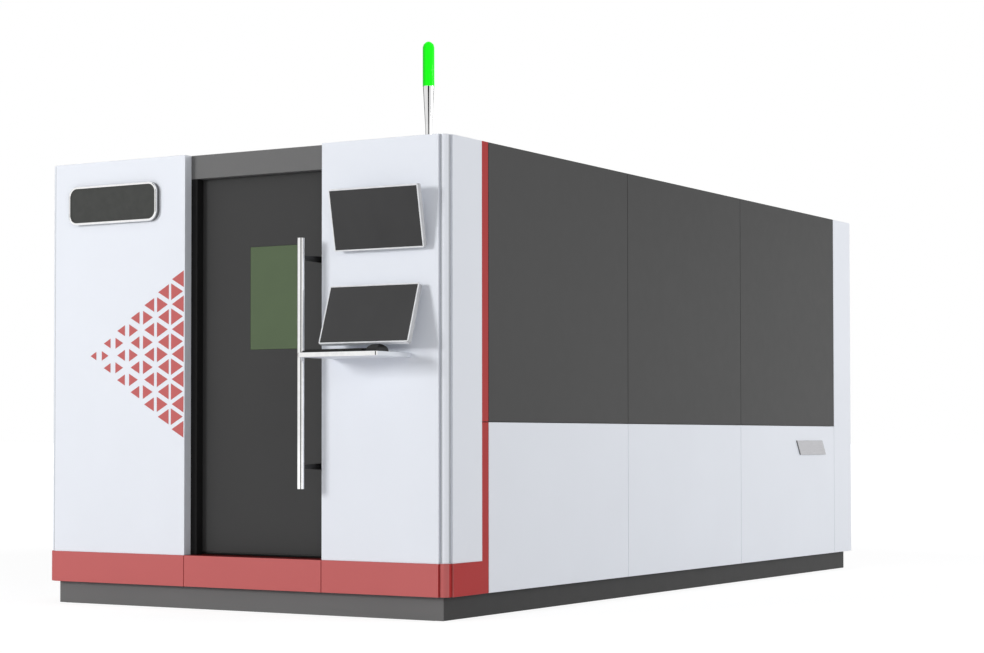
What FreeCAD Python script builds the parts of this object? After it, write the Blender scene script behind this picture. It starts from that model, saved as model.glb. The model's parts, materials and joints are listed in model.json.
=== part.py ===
import FreeCAD, Part
import math
import os
from FreeCAD import Vector

# Enclosed fiber laser cutting machine.  Millimetres.  The origin is on the floor at the middle of
# the body; X runs across the front to the right, Y runs back along the body, Z is up.

# ---------------------------------------------------------------- body and skins
BODY_WIDTH = 2340.0
BODY_LENGTH = 5040.0
BODY_HEIGHT = 2200.0
SKIN = 3.0                      # thickness of every folded panel
SEAM_GAP = 3.0                  # open joint between neighbouring panels
SIDE_DEPTH = 25.0               # depth of the folded edges of side and rear panels
FRONT_DEPTH = 52.0              # depth of the folded edges of the front panels
PLINTH_HEIGHT = 109.0
PLINTH_INSET = 43.0
PLINTH_WALL = 50.0
MEMBER_WIDTH = 120.0            # cross members of the base
BAND_TOP = 259.0
BAND_PROUD = 4.0
BAND_DEPTH = 24.0
SEAM_HEIGHT = 900.0             # between the white lower and the dark upper side panels
CORNER_FRONT = 43.0             # the front panels stop this far from the corner
CORNER_SIDE = 53.0              # the side skins start this far behind the corner
CORNER_STEP_FRONT = 12.0        # depth of the groove beside the front panel
CORNER_STEP_SIDE = 9.0          # depth of the groove beside the side skin
CORNER_FACET_FRONT = 30.0
CORNER_FACET_SIDE = 33.0
CORNER_BULGE = 4.0
WRAP_LENGTH = 265.0             # white skin round the corner, along the side
STRIPE_WIDTH = 62.0             # red stripe
SIDE_PANEL_COUNT = 3
REAR_CORNER_WIDTH = 250.0
REAR_CORNER_DEPTH = 307.0
REAR_CORNER_RADIUS = 25.0
ROOF_PAN_DEPTH = 30.0
ROOF_PAN_COUNT = 4
ROOF_MARGIN = 5.0               # roof behind the front plane
ROOF_CLEARANCE = 1.0            # roof pan behind the header

# ---------------------------------------------------------------- front opening, header and door
OPENING_LEFT = -309.0
OPENING_RIGHT = 492.0
HEADER_RECESS = 51.0
HEADER_HEIGHT = 115.0
HEADER_DEPTH = 45.0
DOOR_RECESS = 100.0
DOOR_THICKNESS = 40.0
DOOR_LAP = 36.0                 # how far the leaf reaches behind the front panels
DOOR_TOP_LAP = 15.0
DOOR_SILL_GAP = 16.0
DOOR_TRAVEL = 690.0
WINDOW_FROM_LEFT = 465.0        # middle of the window from the left jamb
WINDOW_CENTRE_Z = 1496.0
WINDOW_WIDTH = 290.0
WINDOW_HEIGHT = 494.0
WINDOW_GLASS = 6.0
WINDOW_REBATE = 14.0
WINDOW_FIT = 0.5
SEAL_WIDTH_LEFT = 36.0
SEAL_WIDTH_RIGHT = 8.0
SEAL_CLEARANCE = 0.3
HANDLE_FROM_RIGHT = 44.5        # bar axis from the right jamb
HANDLE_BAR_RADIUS = 17.0
HANDLE_PROUD = 105.0            # bar axis in front of the front panels
HANDLE_BOTTOM = 590.0
HANDLE_TOP = 1751.0
HANDLE_POST_INSET_TOP = 90.0
HANDLE_POST_INSET_BOTTOM = 102.0
HANDLE_POST_WIDTH = 16.0
HANDLE_POST_AT_BAR = 16.0       # height of a post's two ends
HANDLE_POST_AT_DOOR = 34.0
HANDLE_POST_FIT = 0.2           # room between a post's hollow end and the bar
TRACK_THICKNESS = 8.0
TRACK_HEIGHT = 24.0
TRACK_ABOVE_HEADER = 37.0       # top of the track above the header's lower edge
TRACK_SPACER = 12.0
TRACK_SPACER_DROP = 10.0        # spacers below the top of the track
TRACK_SPACER_COUNT = 5
ROLLER_RADIUS = 18.0            # tread at the bottom of the groove
ROLLER_FLANGE = 5.0
ROLLER_WIDTH = 13.0
ROLLER_SIDE_GAP = 0.4
WASHER_ROOM = 1.0               # between a hanger's pin and the holes of its roller's washers
ROLLER_GAP = 0.3                # roller tread above its track
ROLLER_INSET = 130.0
TRACK_GAP = 3.5                 # between the hanger plates and the track bar
HANGER_PLATE = 5.0
HANGER_WIDTH = 90.0
HANGER_DROP = 70.0
PIN_RADIUS = 6.0
PIN_FIT = 0.05                  # radial running clearance of pins and shafts
GUIDE_FIN_THICKNESS = 8.0
GUIDE_FIN_LENGTH = 60.0
GUIDE_FIN_HEIGHT = 24.0
GUIDE_CLEARANCE = 1.0

# ---------------------------------------------------------------- inner frame
TUBE = 60.0
ROOF_BEAM_HEIGHT = 97.0         # front roof beam
SILL_BACK = 155.0               # back of the sill behind the front plane

# ---------------------------------------------------------------- rear loading port
PORT_BOTTOM = 640.0
PORT_TOP = 1130.0
GATE_LAP = 25.0
GATE_THICKNESS = 22.0
GATE_TRAVEL = 490.0
GATE_CLEARANCE = 1.0
GATE_GUIDE_WALL = 9.0
GATE_GUIDE_INSET = 5.0
GATE_SETBACK = 5.0              # gate in front of the rear posts
GATE_REST_GAP = 0.3
CYLINDER_INSET = 45.0           # cylinder axis inside the port post
CYLINDER_GAP = 6.0
CYLINDER_HALF = 22.0            # half the side of the square barrel
CYLINDER_ROD_RADIUS = 9.0
CYLINDER_BOTTOM = 1190.0
CYLINDER_BEAM_Z = 1690.0
LUG_SIZE = 44.0

# ---------------------------------------------------------------- bed, rails and racks
BED_SETBACK_FRONT = 1040.0      # first station behind the front plane
BED_SETBACK_REAR = 300.0        # last station in front of the rear plane
BED_STATION_COUNT = 6
BED_OVERHANG = 120.0
BED_BEAM_INSET = 270.0          # beam centre inside the body side
BED_BEAM_WIDTH = 120.0
BED_TOP = 800.0
FOOT_HEIGHT = 140.0
FOOT_PAD_SIZE = 90.0
FOOT_PAD_HEIGHT = 20.0
FOOT_BOLT_ACROSS = 44.0
BED_CROSS_HEIGHT = 170.0
BED_CROSS_WIDTH = 80.0
HOPPER_HALF_FLAT = 300.0
HOPPER_RISE = 190.0
LEDGE_GAP = 4.0                 # ledge edge inside the wheel face
RAIL_WIDTH = 30.0
RAIL_HEIGHT = 28.0
RAIL_WAIST = 5.0
RAIL_FOOT = 9.0                 # height of the flare under the waist, and of the head over it
RACK_WIDTH = 18.0
RACK_HEIGHT = 26.0
RACK_BELOW_TOP = 12.0
PALLET_RAIL_TOP = 640.0
PALLET_RAIL_THICKNESS = 20.0

# ---------------------------------------------------------------- slat table on wheels
PALLET_SETBACK = 250.0          # table front behind the bed front
PALLET_LENGTH = 3050.0
PALLET_SIDE_GAP = 70.0          # table side to bed beam
PALLET_BAR = 30.0
PALLET_SIDE_BOTTOM = 652.0
PALLET_SIDE_TOP = 812.0
SLAT_COUNT = 15
SLAT_THICKNESS = 5.0
SLAT_HEIGHT = 105.0
SLAT_TOOTH_HEIGHT = 20.0
SLAT_TOOTH_COUNT = 9
SLAT_TIP_Z = 870.0
SLAT_END_GAP = 0.5
COMB_WIDTH = 14.0
COMB_HEIGHT = 62.0
COMB_SLOT_DEPTH = 40.0
COMB_SLOT_FIT = 0.4
WHEEL_RADIUS = 35.0
WHEEL_WIDTH = 28.0
WHEEL_SIDE_GAP = 8.0            # between the table side and its wheels
WHEEL_GAP = 0.3
WHEELSET_COUNT = 3
WHEELSET_INSET = 200.0
AXLE_RADIUS = 12.0

# ---------------------------------------------------------------- gantry, carriage and head
GANTRY_SETBACK = 573.0          # beam centre at rest behind the bed front
BEAM_DEPTH = 220.0
BEAM_BOTTOM = 980.0
BEAM_HEIGHT = 260.0
BEAM_OVERHANG = 100.0           # beam end outside the bed beam centre
BEAM_CHAMFER = 55.0
TRUCK_LENGTH = 420.0
TRUCK_INSIDE = 50.0
TRUCK_OUTSIDE = 150.0
BLOCK_WIDTH = 70.0
BLOCK_LENGTH = 110.0
BLOCK_TOP_ABOVE_RAIL = 29.0
BLOCK_SKIRT = 16.0
BLOCK_FIT = 0.3
PINION_RADIUS = 30.0
PINION_HEIGHT = 26.0
PINION_GAP = 0.3
DRIVE_SLOT_FIT = 1.0            # round a pinion in the slot its motor is set along
MOTOR_OFFSET_Y = -165.0
MOTOR_SIZE = 80.0
MOTOR_LENGTH = 190.0
GEARBOX_LENGTH = 70.0
MOTOR_CORNER = 10.0
MOTOR_SLIM = 69.0               # motor body behind its gearbox
MOTOR_CAP_SIZE = 56.0
MOTOR_CAP_LENGTH = 20.0
X_RAIL_LOWER = 1025.0
X_RAIL_UPPER = 1200.0
X_RAIL_SIZE = 22.0
X_RAIL_DEPTH = 20.0
X_RAIL_END_GAP = 95.0           # rail end inside the beam end
X_RACK_Z = 1120.0
X_RACK_SIZE = 20.0
X_PINION_RADIUS = 20.0
CARRIAGE_HALF_WIDTH = 150.0
CARRIAGE_PLATE = 20.0
LIFT_SHELF = 10.0
CARRIAGE_BOTTOM = 985.0
CARRIAGE_TOP = 1262.0
CARRIAGE_BLOCK = 60.0
CARRIAGE_BLOCK_TOP = 17.0
CARRIAGE_X = 300.0              # carriage centre at rest
X_MOTOR_OFFSET = 125.0
X_PINION_SETBACK = 4.0          # pinion end in front of the beam
Z_RAIL_OFFSET = 50.0
Z_RAIL_WIDTH = 18.0
Z_RAIL_DEPTH = 14.0
Z_BLOCK_WIDTH = 34.0
Z_BLOCK_DEPTH = 26.0
Z_BLOCK_BOTTOM = 1085.0
Z_BLOCK_LENGTH = 110.0
Z_TRAVEL = 95.0
SCREW_RADIUS = 7.0
SCREW_END_GAP = 10.0
NUT_GAP = 2.0
SHAFT_END_GAP = 1.0
HEAD_PLATE = 14.0
HEAD_HALF_WIDTH = 78.0
HEAD_PLATE_BOTTOM = 1045.0
HEAD_PLATE_TOP = 1210.0
HEAD_AXIS_OUT = 60.0            # head axis in front of its slide plate
HEAD_BODY_HALF = 42.0
HEAD_BODY_FOOT = 92.0           # above the nozzle tip, as are the next heights
HEAD_BODY_TOP = 232.0
DRAWER_FOOT = 108.0
DRAWER_HALF = 26.0
DRAWER_PROUD = 8.0
DRAWER_PITCH = 52.0
NOZZLE_HEIGHT = 48.0
NOZZLE_RADIUS = 20.0            # retaining ring
NOZZLE_TIP_RADIUS = 4.0
NOZZLE_BORE = 1.5
NOZZLE_CONE = 14.0
NOZZLE_SHANK_RADIUS = 11.0
NECK_RADIUS = 24.0
COLLAR_RADIUS = 32.0            # top of the neck
TOWER_HALF = 32.0
TOWER_HEIGHT = 50.0
COLLIMATOR_RADIUS = 26.0
SOCKET_RADIUS = 14.0            # fibre socket
SOCKET_LENGTH = 30.0
SOCKET_TAPER = 14.0
HEAD_TOP = 380.0
NOZZLE_CLEARANCE = 3.0          # nozzle above the slat tips at its lowest

# ---------------------------------------------------------------- electrical cabinet
CABINET_SIDE_GAP = 10.0         # to the side frame
CABINET_WIDTH = 645.0
CABINET_BACK_GAP = 100.0        # to the bed
CABINET_LENGTH = 590.0
CABINET_HEIGHT = 1765.0
CABINET_SHEET = 4.0
CABINET_DOOR = 25.0
CABINET_DOOR_GAP = 2.0
CABINET_FRAME = 30.0
HINGE_HALF = 9.0                # half the side of a hinge block
HINGE_PIN_RADIUS = 4.0
HINGE_LENGTH = 60.0
HINGE_GAP = 0.3
HINGE_SHARE = 0.15              # height of a hinge from the cabinet's end, as a share
FLOOR_PLATE = 6.0
MODULE_DEPTH = 160.0
MODULE_HEIGHT = 260.0
MODULE_WIDTH = 70.0
MODULE_PITCH = 95.0
MODULE_COUNT = 5
MODULE_ROWS = 2
LASER_HEIGHT = 380.0
BEZEL = 6.0
BEZEL_RIM = 15.0
GRIP_BAR = 12.0
GRIP_REACH = 30.0

# ---------------------------------------------------------------- operator station
MONITOR_WIDTH = 485.0
MONITOR_HEIGHT = 288.0
MONITOR_DEPTH = 26.0
MONITOR_RIM = 7.0
MONITOR_CORNER = 6.0
GLASS_THICKNESS = 3.0
GLASS_PROUD = 0.6
UPPER_FROM_JAMB = 344.5
UPPER_Z = 1825.3
UPPER_PROUD = 73.5              # middle of the glass in front of the front plane
UPPER_TILT = 11.4               # top forward
LOWER_FROM_JAMB = 320.0
LOWER_Z = 1391.0
LOWER_PROUD = 93.5
LOWER_TILT = -19.8              # top back
PIVOT_BACK = 20.0               # tilt axis behind the housing
BRACKET_PLATE = 100.0
BRACKET_THICKNESS = 5.0
BRACKET_ARM = 12.0
BRACKET_GAP = 56.0
EYE_RADIUS = 12.0
EYE_SIDE_GAP = 0.5
SHELF_FROM_JAMB = 59.0
SHELF_WIDTH = 431.0
SHELF_REACH = 290.0
SHELF_TOP = 1212.0
SHELF_THICKNESS = 21.0
SHELF_RADIUS = 16.0
KEYBOARD_INSET = 17.0
KEYBOARD_WIDTH = 322.0
KEYBOARD_DEPTH = 122.0
KEYBOARD_EDGE = 22.0            # keyboard behind the shelf's front edge
KEYBOARD_FRONT_HEIGHT = 9.0
KEYBOARD_BACK_HEIGHT = 14.0
KEY_ROWS = 5
KEY_COLUMNS = 15
KEY_HEIGHT = 5.0
KEY_MARGIN = 7.0
KEY_GAP = 1.0
SPACE_BAR_KEYS = 7
MOUSE_INSET = 45.0              # from the right end of the shelf
MOUSE_OUT = 215.0               # middle of the mouse in front of the front plane
MOUSE_LENGTH = 102.0
MOUSE_WIDTH = 60.0
MOUSE_HEIGHT = 33.0
MOUSE_CROWN = 38.0              # rise of the arch across the mouse
MOUSE_WHEEL_RADIUS = 11.0
MOUSE_WHEEL_WIDTH = 7.0
MOUSE_WHEEL_FORWARD = 27.0
MOUSE_WHEEL_PROUD = 2.5
MOUSE_WHEEL_GAP = 0.5

# ---------------------------------------------------------------- trim and beacon
BADGE_FROM_SIDE = 425.5
BADGE_FROM_TOP = 216.0
BADGE_WIDTH = 557.0
BADGE_HEIGHT = 194.0
BADGE_RADIUS = 52.0
BADGE_RIM = 21.0
BADGE_CHAMFER = 6.0
BADGE_DEPTH = 28.0
BADGE_FACE_RECESS = 3.0
SIDE_BADGE_FROM_REAR = 935.0
SIDE_BADGE_LENGTH = 410.0
SIDE_BADGE_SLANT = 58.0
SIDE_BADGE_BOTTOM = 724.0
SIDE_BADGE_HEIGHT = 87.0
SIDE_BADGE_THICKNESS = 8.0
TRIANGLE_COLUMNS = 7
TRIANGLE_PITCH_X = 88.8
TRIANGLE_PITCH_Z = 121.6
TRIANGLE_CENTRE_Z = 1233.0
TRIANGLE_SMALLEST = 41.0
TRIANGLE_GROWTH = 6.6
TRIANGLE_SLIMNESS = 0.89
TRIANGLE_SHARE = 0.36           # share of the free width that lies at a triangle's base
TRIANGLE_THICKNESS = 1.0
BEACON_FROM_SIDE = 186.0
BEACON_SETBACK = 150.0
BEACON_POST_HEIGHT = 248.0
BEACON_POST_FOOT = 17.0
BEACON_POST_HEAD = 26.0
BEACON_FLANGE = 30.0
BEACON_FLANGE_THICKNESS = 5.0
BEACON_LAMP_RADIUS = 27.0
BEACON_LAMP_HEIGHT = 207.0
BEACON_LAMP_CROWN = 6.0         # flat on the top of the dome
DOME_STEPS = 3
TURNED_SIDES = 24               # flat sides of small turned pieces with a cone, dome or groove

# ---------------------------------------------------------------- places worked out from the sizes
SIDE_X = BODY_WIDTH / 2
FRONT_Y = -BODY_LENGTH / 2
REAR_Y = BODY_LENGTH / 2
FRAME_X = SIDE_X - SIDE_DEPTH
FRAME_INNER = FRAME_X - TUBE
FRAME_TOP = BODY_HEIGHT - SKIN - ROOF_PAN_DEPTH
ROOF_TOP = BODY_HEIGHT - SKIN
WRAP_START = FRONT_Y + CORNER_SIDE
STRIPE_START = WRAP_START + WRAP_LENGTH
PANELS_START = STRIPE_START + STRIPE_WIDTH
PANELS_END = REAR_Y - REAR_CORNER_DEPTH
SIDE_PANEL_LENGTH = (PANELS_END - PANELS_START) / SIDE_PANEL_COUNT
HEADER_BOTTOM = BODY_HEIGHT - HEADER_HEIGHT
DOOR_FACE = FRONT_Y + DOOR_RECESS
DOOR_BACK = DOOR_FACE + DOOR_THICKNESS
DOOR_LEFT = OPENING_LEFT - DOOR_LAP
DOOR_RIGHT = OPENING_RIGHT + DOOR_LAP
DOOR_BOTTOM = BAND_TOP + DOOR_SILL_GAP
DOOR_TOP = HEADER_BOTTOM + DOOR_TOP_LAP
WINDOW_X = OPENING_LEFT + WINDOW_FROM_LEFT
HANDLE_X = OPENING_RIGHT - HANDLE_FROM_RIGHT
HANDLE_Y = FRONT_Y - HANDLE_PROUD
TRACK_TOP = HEADER_BOTTOM + TRACK_ABOVE_HEADER
TRACK_FRONT = DOOR_BACK + HANGER_PLATE + TRACK_GAP
TRACK_BACK = TRACK_FRONT + TRACK_THICKNESS
ROLLER_Y = (TRACK_FRONT + TRACK_BACK) / 2
ROLLER_Z = TRACK_TOP + ROLLER_GAP + ROLLER_RADIUS
FRONT_BEAM_Y = TRACK_BACK + TRACK_SPACER
REAR_POST_Y = REAR_Y - SIDE_DEPTH - TUBE
BED_FIRST = FRONT_Y + BED_SETBACK_FRONT
BED_PITCH = (REAR_Y - BED_SETBACK_REAR - BED_FIRST) / (BED_STATION_COUNT - 1)
BED_STATIONS = [BED_FIRST + i * BED_PITCH for i in range(BED_STATION_COUNT)]
BED_FRONT = BED_STATIONS[0] - BED_OVERHANG
BED_REAR = BED_STATIONS[-1] + BED_OVERHANG
BED_BOTTOM = PLINTH_HEIGHT + FOOT_HEIGHT
BED_BEAM_X = SIDE_X - BED_BEAM_INSET
BED_INNER = BED_BEAM_X - BED_BEAM_WIDTH / 2
BED_OUTER = BED_BEAM_X + BED_BEAM_WIDTH / 2
BED_CROSS_TOP = BED_BOTTOM + BED_CROSS_HEIGHT
PORT_HALF_WIDTH = BED_BEAM_X
CYLINDER_X = PORT_HALF_WIDTH - CYLINDER_INSET
RAIL_TOP = BED_TOP + RAIL_HEIGHT
BLOCK_TOP = RAIL_TOP + BLOCK_TOP_ABOVE_RAIL
GANTRY_Y = BED_FRONT + GANTRY_SETBACK
PINION_X = BED_OUTER + RACK_WIDTH + PINION_GAP + PINION_RADIUS
PINION_TOP = BED_TOP - RACK_BELOW_TOP
PINION_Y = GANTRY_Y + MOTOR_OFFSET_Y
BEAM_HALF_LENGTH = BED_BEAM_X + BEAM_OVERHANG
BEAM_FACE = GANTRY_Y - BEAM_DEPTH / 2
X_RAIL_HALF = BEAM_HALF_LENGTH - X_RAIL_END_GAP
PLATE_BACK = BEAM_FACE - X_RAIL_DEPTH - CARRIAGE_BLOCK_TOP
PLATE_FACE = PLATE_BACK - CARRIAGE_PLATE
X_PINION_Z = X_RACK_Z - PINION_GAP - X_PINION_RADIUS
X_PINION_X = CARRIAGE_X + X_MOTOR_OFFSET
SCREW_Y = PLATE_FACE - Z_RAIL_DEPTH - SCREW_RADIUS / 2
HEAD_BACK = PLATE_FACE - Z_RAIL_DEPTH / 2 - Z_BLOCK_DEPTH
HEAD_FACE = HEAD_BACK - HEAD_PLATE
HEAD_Y = HEAD_FACE - HEAD_AXIS_OUT
NOZZLE_TIP = SLAT_TIP_Z + NOZZLE_CLEARANCE + Z_TRAVEL
PALLET_HALF_WIDTH = BED_INNER - PALLET_SIDE_GAP
PALLET_INNER = PALLET_HALF_WIDTH - PALLET_BAR
PALLET_FRONT = BED_FRONT + PALLET_SETBACK
PALLET_REAR = PALLET_FRONT + PALLET_LENGTH
WHEEL_X = PALLET_HALF_WIDTH + WHEEL_SIDE_GAP
AXLE_Z = PALLET_RAIL_TOP + WHEEL_GAP + WHEEL_RADIUS
SLAT_FOOT_Z = SLAT_TIP_Z - SLAT_HEIGHT
COMB_TOP = SLAT_FOOT_Z + COMB_SLOT_DEPTH
FLOOR_TOP = PLINTH_HEIGHT + FLOOR_PLATE
CABINET_LEFT = -FRAME_INNER + CABINET_SIDE_GAP
CABINET_RIGHT = CABINET_LEFT + CABINET_WIDTH
CABINET_MOUTH = CABINET_RIGHT - CABINET_DOOR
CABINET_REAR = BED_FRONT - CABINET_BACK_GAP
CABINET_FRONT = CABINET_REAR - CABINET_LENGTH
CABINET_TOP = FLOOR_TOP + CABINET_HEIGHT
GATE_Y = REAR_POST_Y - GATE_SETBACK - GATE_THICKNESS
GATE_BOTTOM = PORT_BOTTOM - GATE_LAP
GATE_TOP = PORT_TOP + GATE_LAP
CYLINDER_Y = GATE_Y - CYLINDER_HALF - CYLINDER_GAP
SHELF_LEFT = OPENING_RIGHT + SHELF_FROM_JAMB
SHELF_FRONT = FRONT_Y - SHELF_REACH
MOUSE_X = SHELF_LEFT + SHELF_WIDTH - MOUSE_INSET
MOUSE_Y = FRONT_Y - MOUSE_OUT
UPPER_MONITOR = (OPENING_RIGHT + UPPER_FROM_JAMB, UPPER_Z, UPPER_PROUD, UPPER_TILT)
LOWER_MONITOR = (OPENING_RIGHT + LOWER_FROM_JAMB, LOWER_Z, LOWER_PROUD, LOWER_TILT)


# ---------------------------------------------------------------- shape helpers
def box(x0, x1, y0, y1, z0, z1):
    return Part.makeBox(x1 - x0, y1 - y0, z1 - z0, Vector(x0, y0, z0))


def cylinder(radius, start, axis, length):
    return Part.makeCylinder(radius, length, Vector(*start), Vector(*axis))


def mirrored(shape):
    return shape.mirror(Vector(0, 0, 0), Vector(1, 0, 0))


def both_sides(shape):
    return [shape, mirrored(shape)]


def fused(shapes):
    return shapes[0].multiFuse(shapes[1:]).removeSplitter()


def flat_face(corners):
    return Part.Face(Part.makePolygon(corners + corners[:1]))


def prism(points, direction):
    return flat_face([Vector(*point) for point in points]).extrude(Vector(*direction))


def turned(profile, centre, axis=(0, 0, 1)):
    """Turn a (radius, height) profile as a many-sided solid, where true cones would mesh too finely."""
    rings = []
    for radius, height in profile:
        turns = [2 * math.pi * i / TURNED_SIDES for i in range(TURNED_SIDES)]
        rings.append([Vector(radius * math.cos(t), radius * math.sin(t), height) for t in turns])
    faces = [flat_face(rings[0]), flat_face(rings[-1])]
    for low, high in zip(rings, rings[1:]):
        faces += [flat_face([low[i - 1], low[i], high[i], high[i - 1]]) for i in range(TURNED_SIDES)]
    solid = Part.Solid(Part.Shell(faces)).removeSplitter()
    solid.Placement = FreeCAD.Placement(Vector(*centre), FreeCAD.Rotation(Vector(0, 0, 1), Vector(*axis)))
    return solid


def plate(width, height, thickness):
    """A plate in the XZ plane about the origin, reaching back to +Y, and the edges at its corners."""
    solid = box(-width / 2, width / 2, 0, thickness, -height / 2, height / 2)
    return solid, [e for e in solid.Edges if abs(e.Vertexes[0].Y - e.Vertexes[1].Y) > thickness / 2]


def pan(x0, x1, y0, y1, z0, z1, face):
    """A folded sheet panel: a tray whose skin lies on the named side and which is open behind."""
    inner = {"x0": x0 + SKIN, "x1": x1 - SKIN, "y0": y0 + SKIN, "y1": y1 - SKIN,
             "z0": z0 + SKIN, "z1": z1 - SKIN}
    if face == "front":
        inner["y1"] = y1
    elif face == "rear":
        inner["y0"] = y0
    elif face == "right":
        inner["x0"] = x0
    elif face == "top":
        inner["z0"] = z0
    return box(x0, x1, y0, y1, z0, z1).cut(box(**inner))


# ---------------------------------------------------------------- base, frame and skins
def make_base():
    """Welded base: a skirt on the floor, a cross member under each bed station, a floor plate."""
    x, y = SIDE_X - PLINTH_INSET, REAR_Y - PLINTH_INSET
    inner, half = x - PLINTH_WALL, MEMBER_WIDTH / 2
    pieces = both_sides(box(inner, x, -y, y, 0, PLINTH_HEIGHT))
    for y0 in (-y, y - PLINTH_WALL):
        pieces.append(box(-inner, inner, y0, y0 + PLINTH_WALL, 0, PLINTH_HEIGHT))
    pieces += [box(-inner, inner, s - half, s + half, 0, PLINTH_HEIGHT) for s in BED_STATIONS]
    plate_end = BED_STATIONS[0] - FOOT_PAD_SIZE / 2 - SKIN
    pieces.append(box(-FRAME_INNER, FRAME_INNER, FRONT_Y + SILL_BACK, plate_end,
                      PLINTH_HEIGHT, FLOOR_TOP))
    return pieces


def side_post_places():
    """Y of the posts along each side: one behind the stripe and one at each panel seam."""
    stripe = STRIPE_START + STRIPE_WIDTH / 2
    return [stripe] + [PANELS_START + i * SIDE_PANEL_LENGTH for i in range(1, SIDE_PANEL_COUNT + 1)]


def make_side_frame():
    """Square tubes of one side: corner posts, three rails between them, and posts between the rails."""
    half, low = TUBE / 2, PLINTH_HEIGHT
    front, middle = WRAP_START + TUBE, SEAM_HEIGHT - half
    tubes = [box(FRAME_INNER, FRAME_X, y, y + TUBE, low, FRAME_TOP) for y in (WRAP_START, REAR_POST_Y)]
    for z in (low, middle, FRAME_TOP - TUBE):
        tubes.append(box(FRAME_INNER, FRAME_X, front, REAR_POST_Y, z, z + TUBE))
    for y in side_post_places():
        tubes.append(box(FRAME_INNER, FRAME_X, y - half, y + half, low + TUBE, middle))
        tubes.append(box(FRAME_INNER, FRAME_X, y - half, y + half, middle + TUBE, FRAME_TOP - TUBE))
    for station in (BED_STATIONS[0], BED_STATIONS[-1]):
        tubes.append(box(BED_OUTER, FRAME_INNER, station - half, station + half, low, BED_BOTTOM + TUBE))
    return tubes


def make_rear_frame():
    """Rear end: the port posts and the beams that join them to each other and to the corners."""
    rear = REAR_POST_Y + TUBE
    outer = PORT_HALF_WIDTH + TUBE
    tubes = both_sides(box(PORT_HALF_WIDTH, outer, REAR_POST_Y, rear, PLINTH_HEIGHT, FRAME_TOP))
    for z in (PLINTH_HEIGHT, PORT_BOTTOM - TUBE, PORT_TOP, CYLINDER_BEAM_Z, FRAME_TOP - TUBE):
        tubes.append(box(-PORT_HALF_WIDTH, PORT_HALF_WIDTH, REAR_POST_Y, rear, z, z + TUBE))
    for z in (PLINTH_HEIGHT, FRAME_TOP - TUBE):
        tubes += both_sides(box(outer, FRAME_INNER, REAR_POST_Y, rear, z, z + TUBE))
    return tubes


def make_frame():
    """Square tube frame that carries the skins, with the door sill, its fin and the roof beams."""
    tubes = []
    for tube in make_side_frame():
        tubes += both_sides(tube)
    for y in side_post_places():
        tubes.append(box(-FRAME_INNER, FRAME_INNER, y - TUBE / 2, y + TUBE / 2,
                         FRAME_TOP - TUBE, FRAME_TOP))
    beam = box(-FRAME_INNER, FRAME_INNER, FRONT_BEAM_Y, FRONT_BEAM_Y + TUBE,
               FRAME_TOP - ROOF_BEAM_HEIGHT, FRAME_TOP)
    sill = box(-FRAME_INNER, FRAME_INNER, FRONT_Y + BAND_DEPTH - BAND_PROUD, FRONT_Y + SILL_BACK,
               PLINTH_HEIGHT, BAND_TOP)
    fin_y = (DOOR_FACE + DOOR_BACK) / 2
    fin_x = OPENING_LEFT + GUIDE_FIN_LENGTH / 2
    half = GUIDE_FIN_THICKNESS / 2
    fin = box(fin_x - GUIDE_FIN_LENGTH, fin_x, fin_y - half, fin_y + half,
              BAND_TOP, DOOR_BOTTOM + GUIDE_FIN_HEIGHT)
    return tubes + make_rear_frame() + [beam, sill, fin]


def corner_strip(z0, z1, proud=0.0):
    """Extruded strip in the front right corner: a bulged facet between two shallow grooves."""
    def at(left, back):
        return Vector(SIDE_X - left, FRONT_Y + back, z0)
    start = at(CORNER_FACET_FRONT - proud, CORNER_STEP_FRONT - proud)
    end = at(CORNER_STEP_SIDE - proud, CORNER_FACET_SIDE - proud)
    middle = (start + end) * 0.5 + Vector(1, -1, 0) * (CORNER_BULGE / math.sqrt(2))
    outline = [end, at(CORNER_STEP_SIDE - proud, CORNER_SIDE), at(CORNER_FRONT, CORNER_SIDE),
               at(CORNER_FRONT, CORNER_STEP_FRONT - proud), start]
    edges = [Part.Arc(start, middle, end).toShape()]
    edges += [Part.makeLine(a, b) for a, b in zip(outline, outline[1:])]
    return Part.Face(Part.Wire(edges)).extrude(Vector(0, 0, z1 - z0))


def make_front_panels():
    """Two tall white pans that stand on the sill beside the door."""
    outer, back = SIDE_X - CORNER_FRONT, FRONT_Y + FRONT_DEPTH
    left = pan(-outer, OPENING_LEFT, FRONT_Y, back, BAND_TOP, BODY_HEIGHT, "front")
    right = pan(OPENING_RIGHT, outer, FRONT_Y, back, BAND_TOP, BODY_HEIGHT, "front")
    return [left, right]


def make_header():
    y = FRONT_Y + HEADER_RECESS
    return pan(OPENING_LEFT, OPENING_RIGHT, y, y + HEADER_DEPTH, HEADER_BOTTOM, BODY_HEIGHT, "front")


def make_corner_strips():
    return both_sides(corner_strip(BAND_TOP, BODY_HEIGHT))


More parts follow.
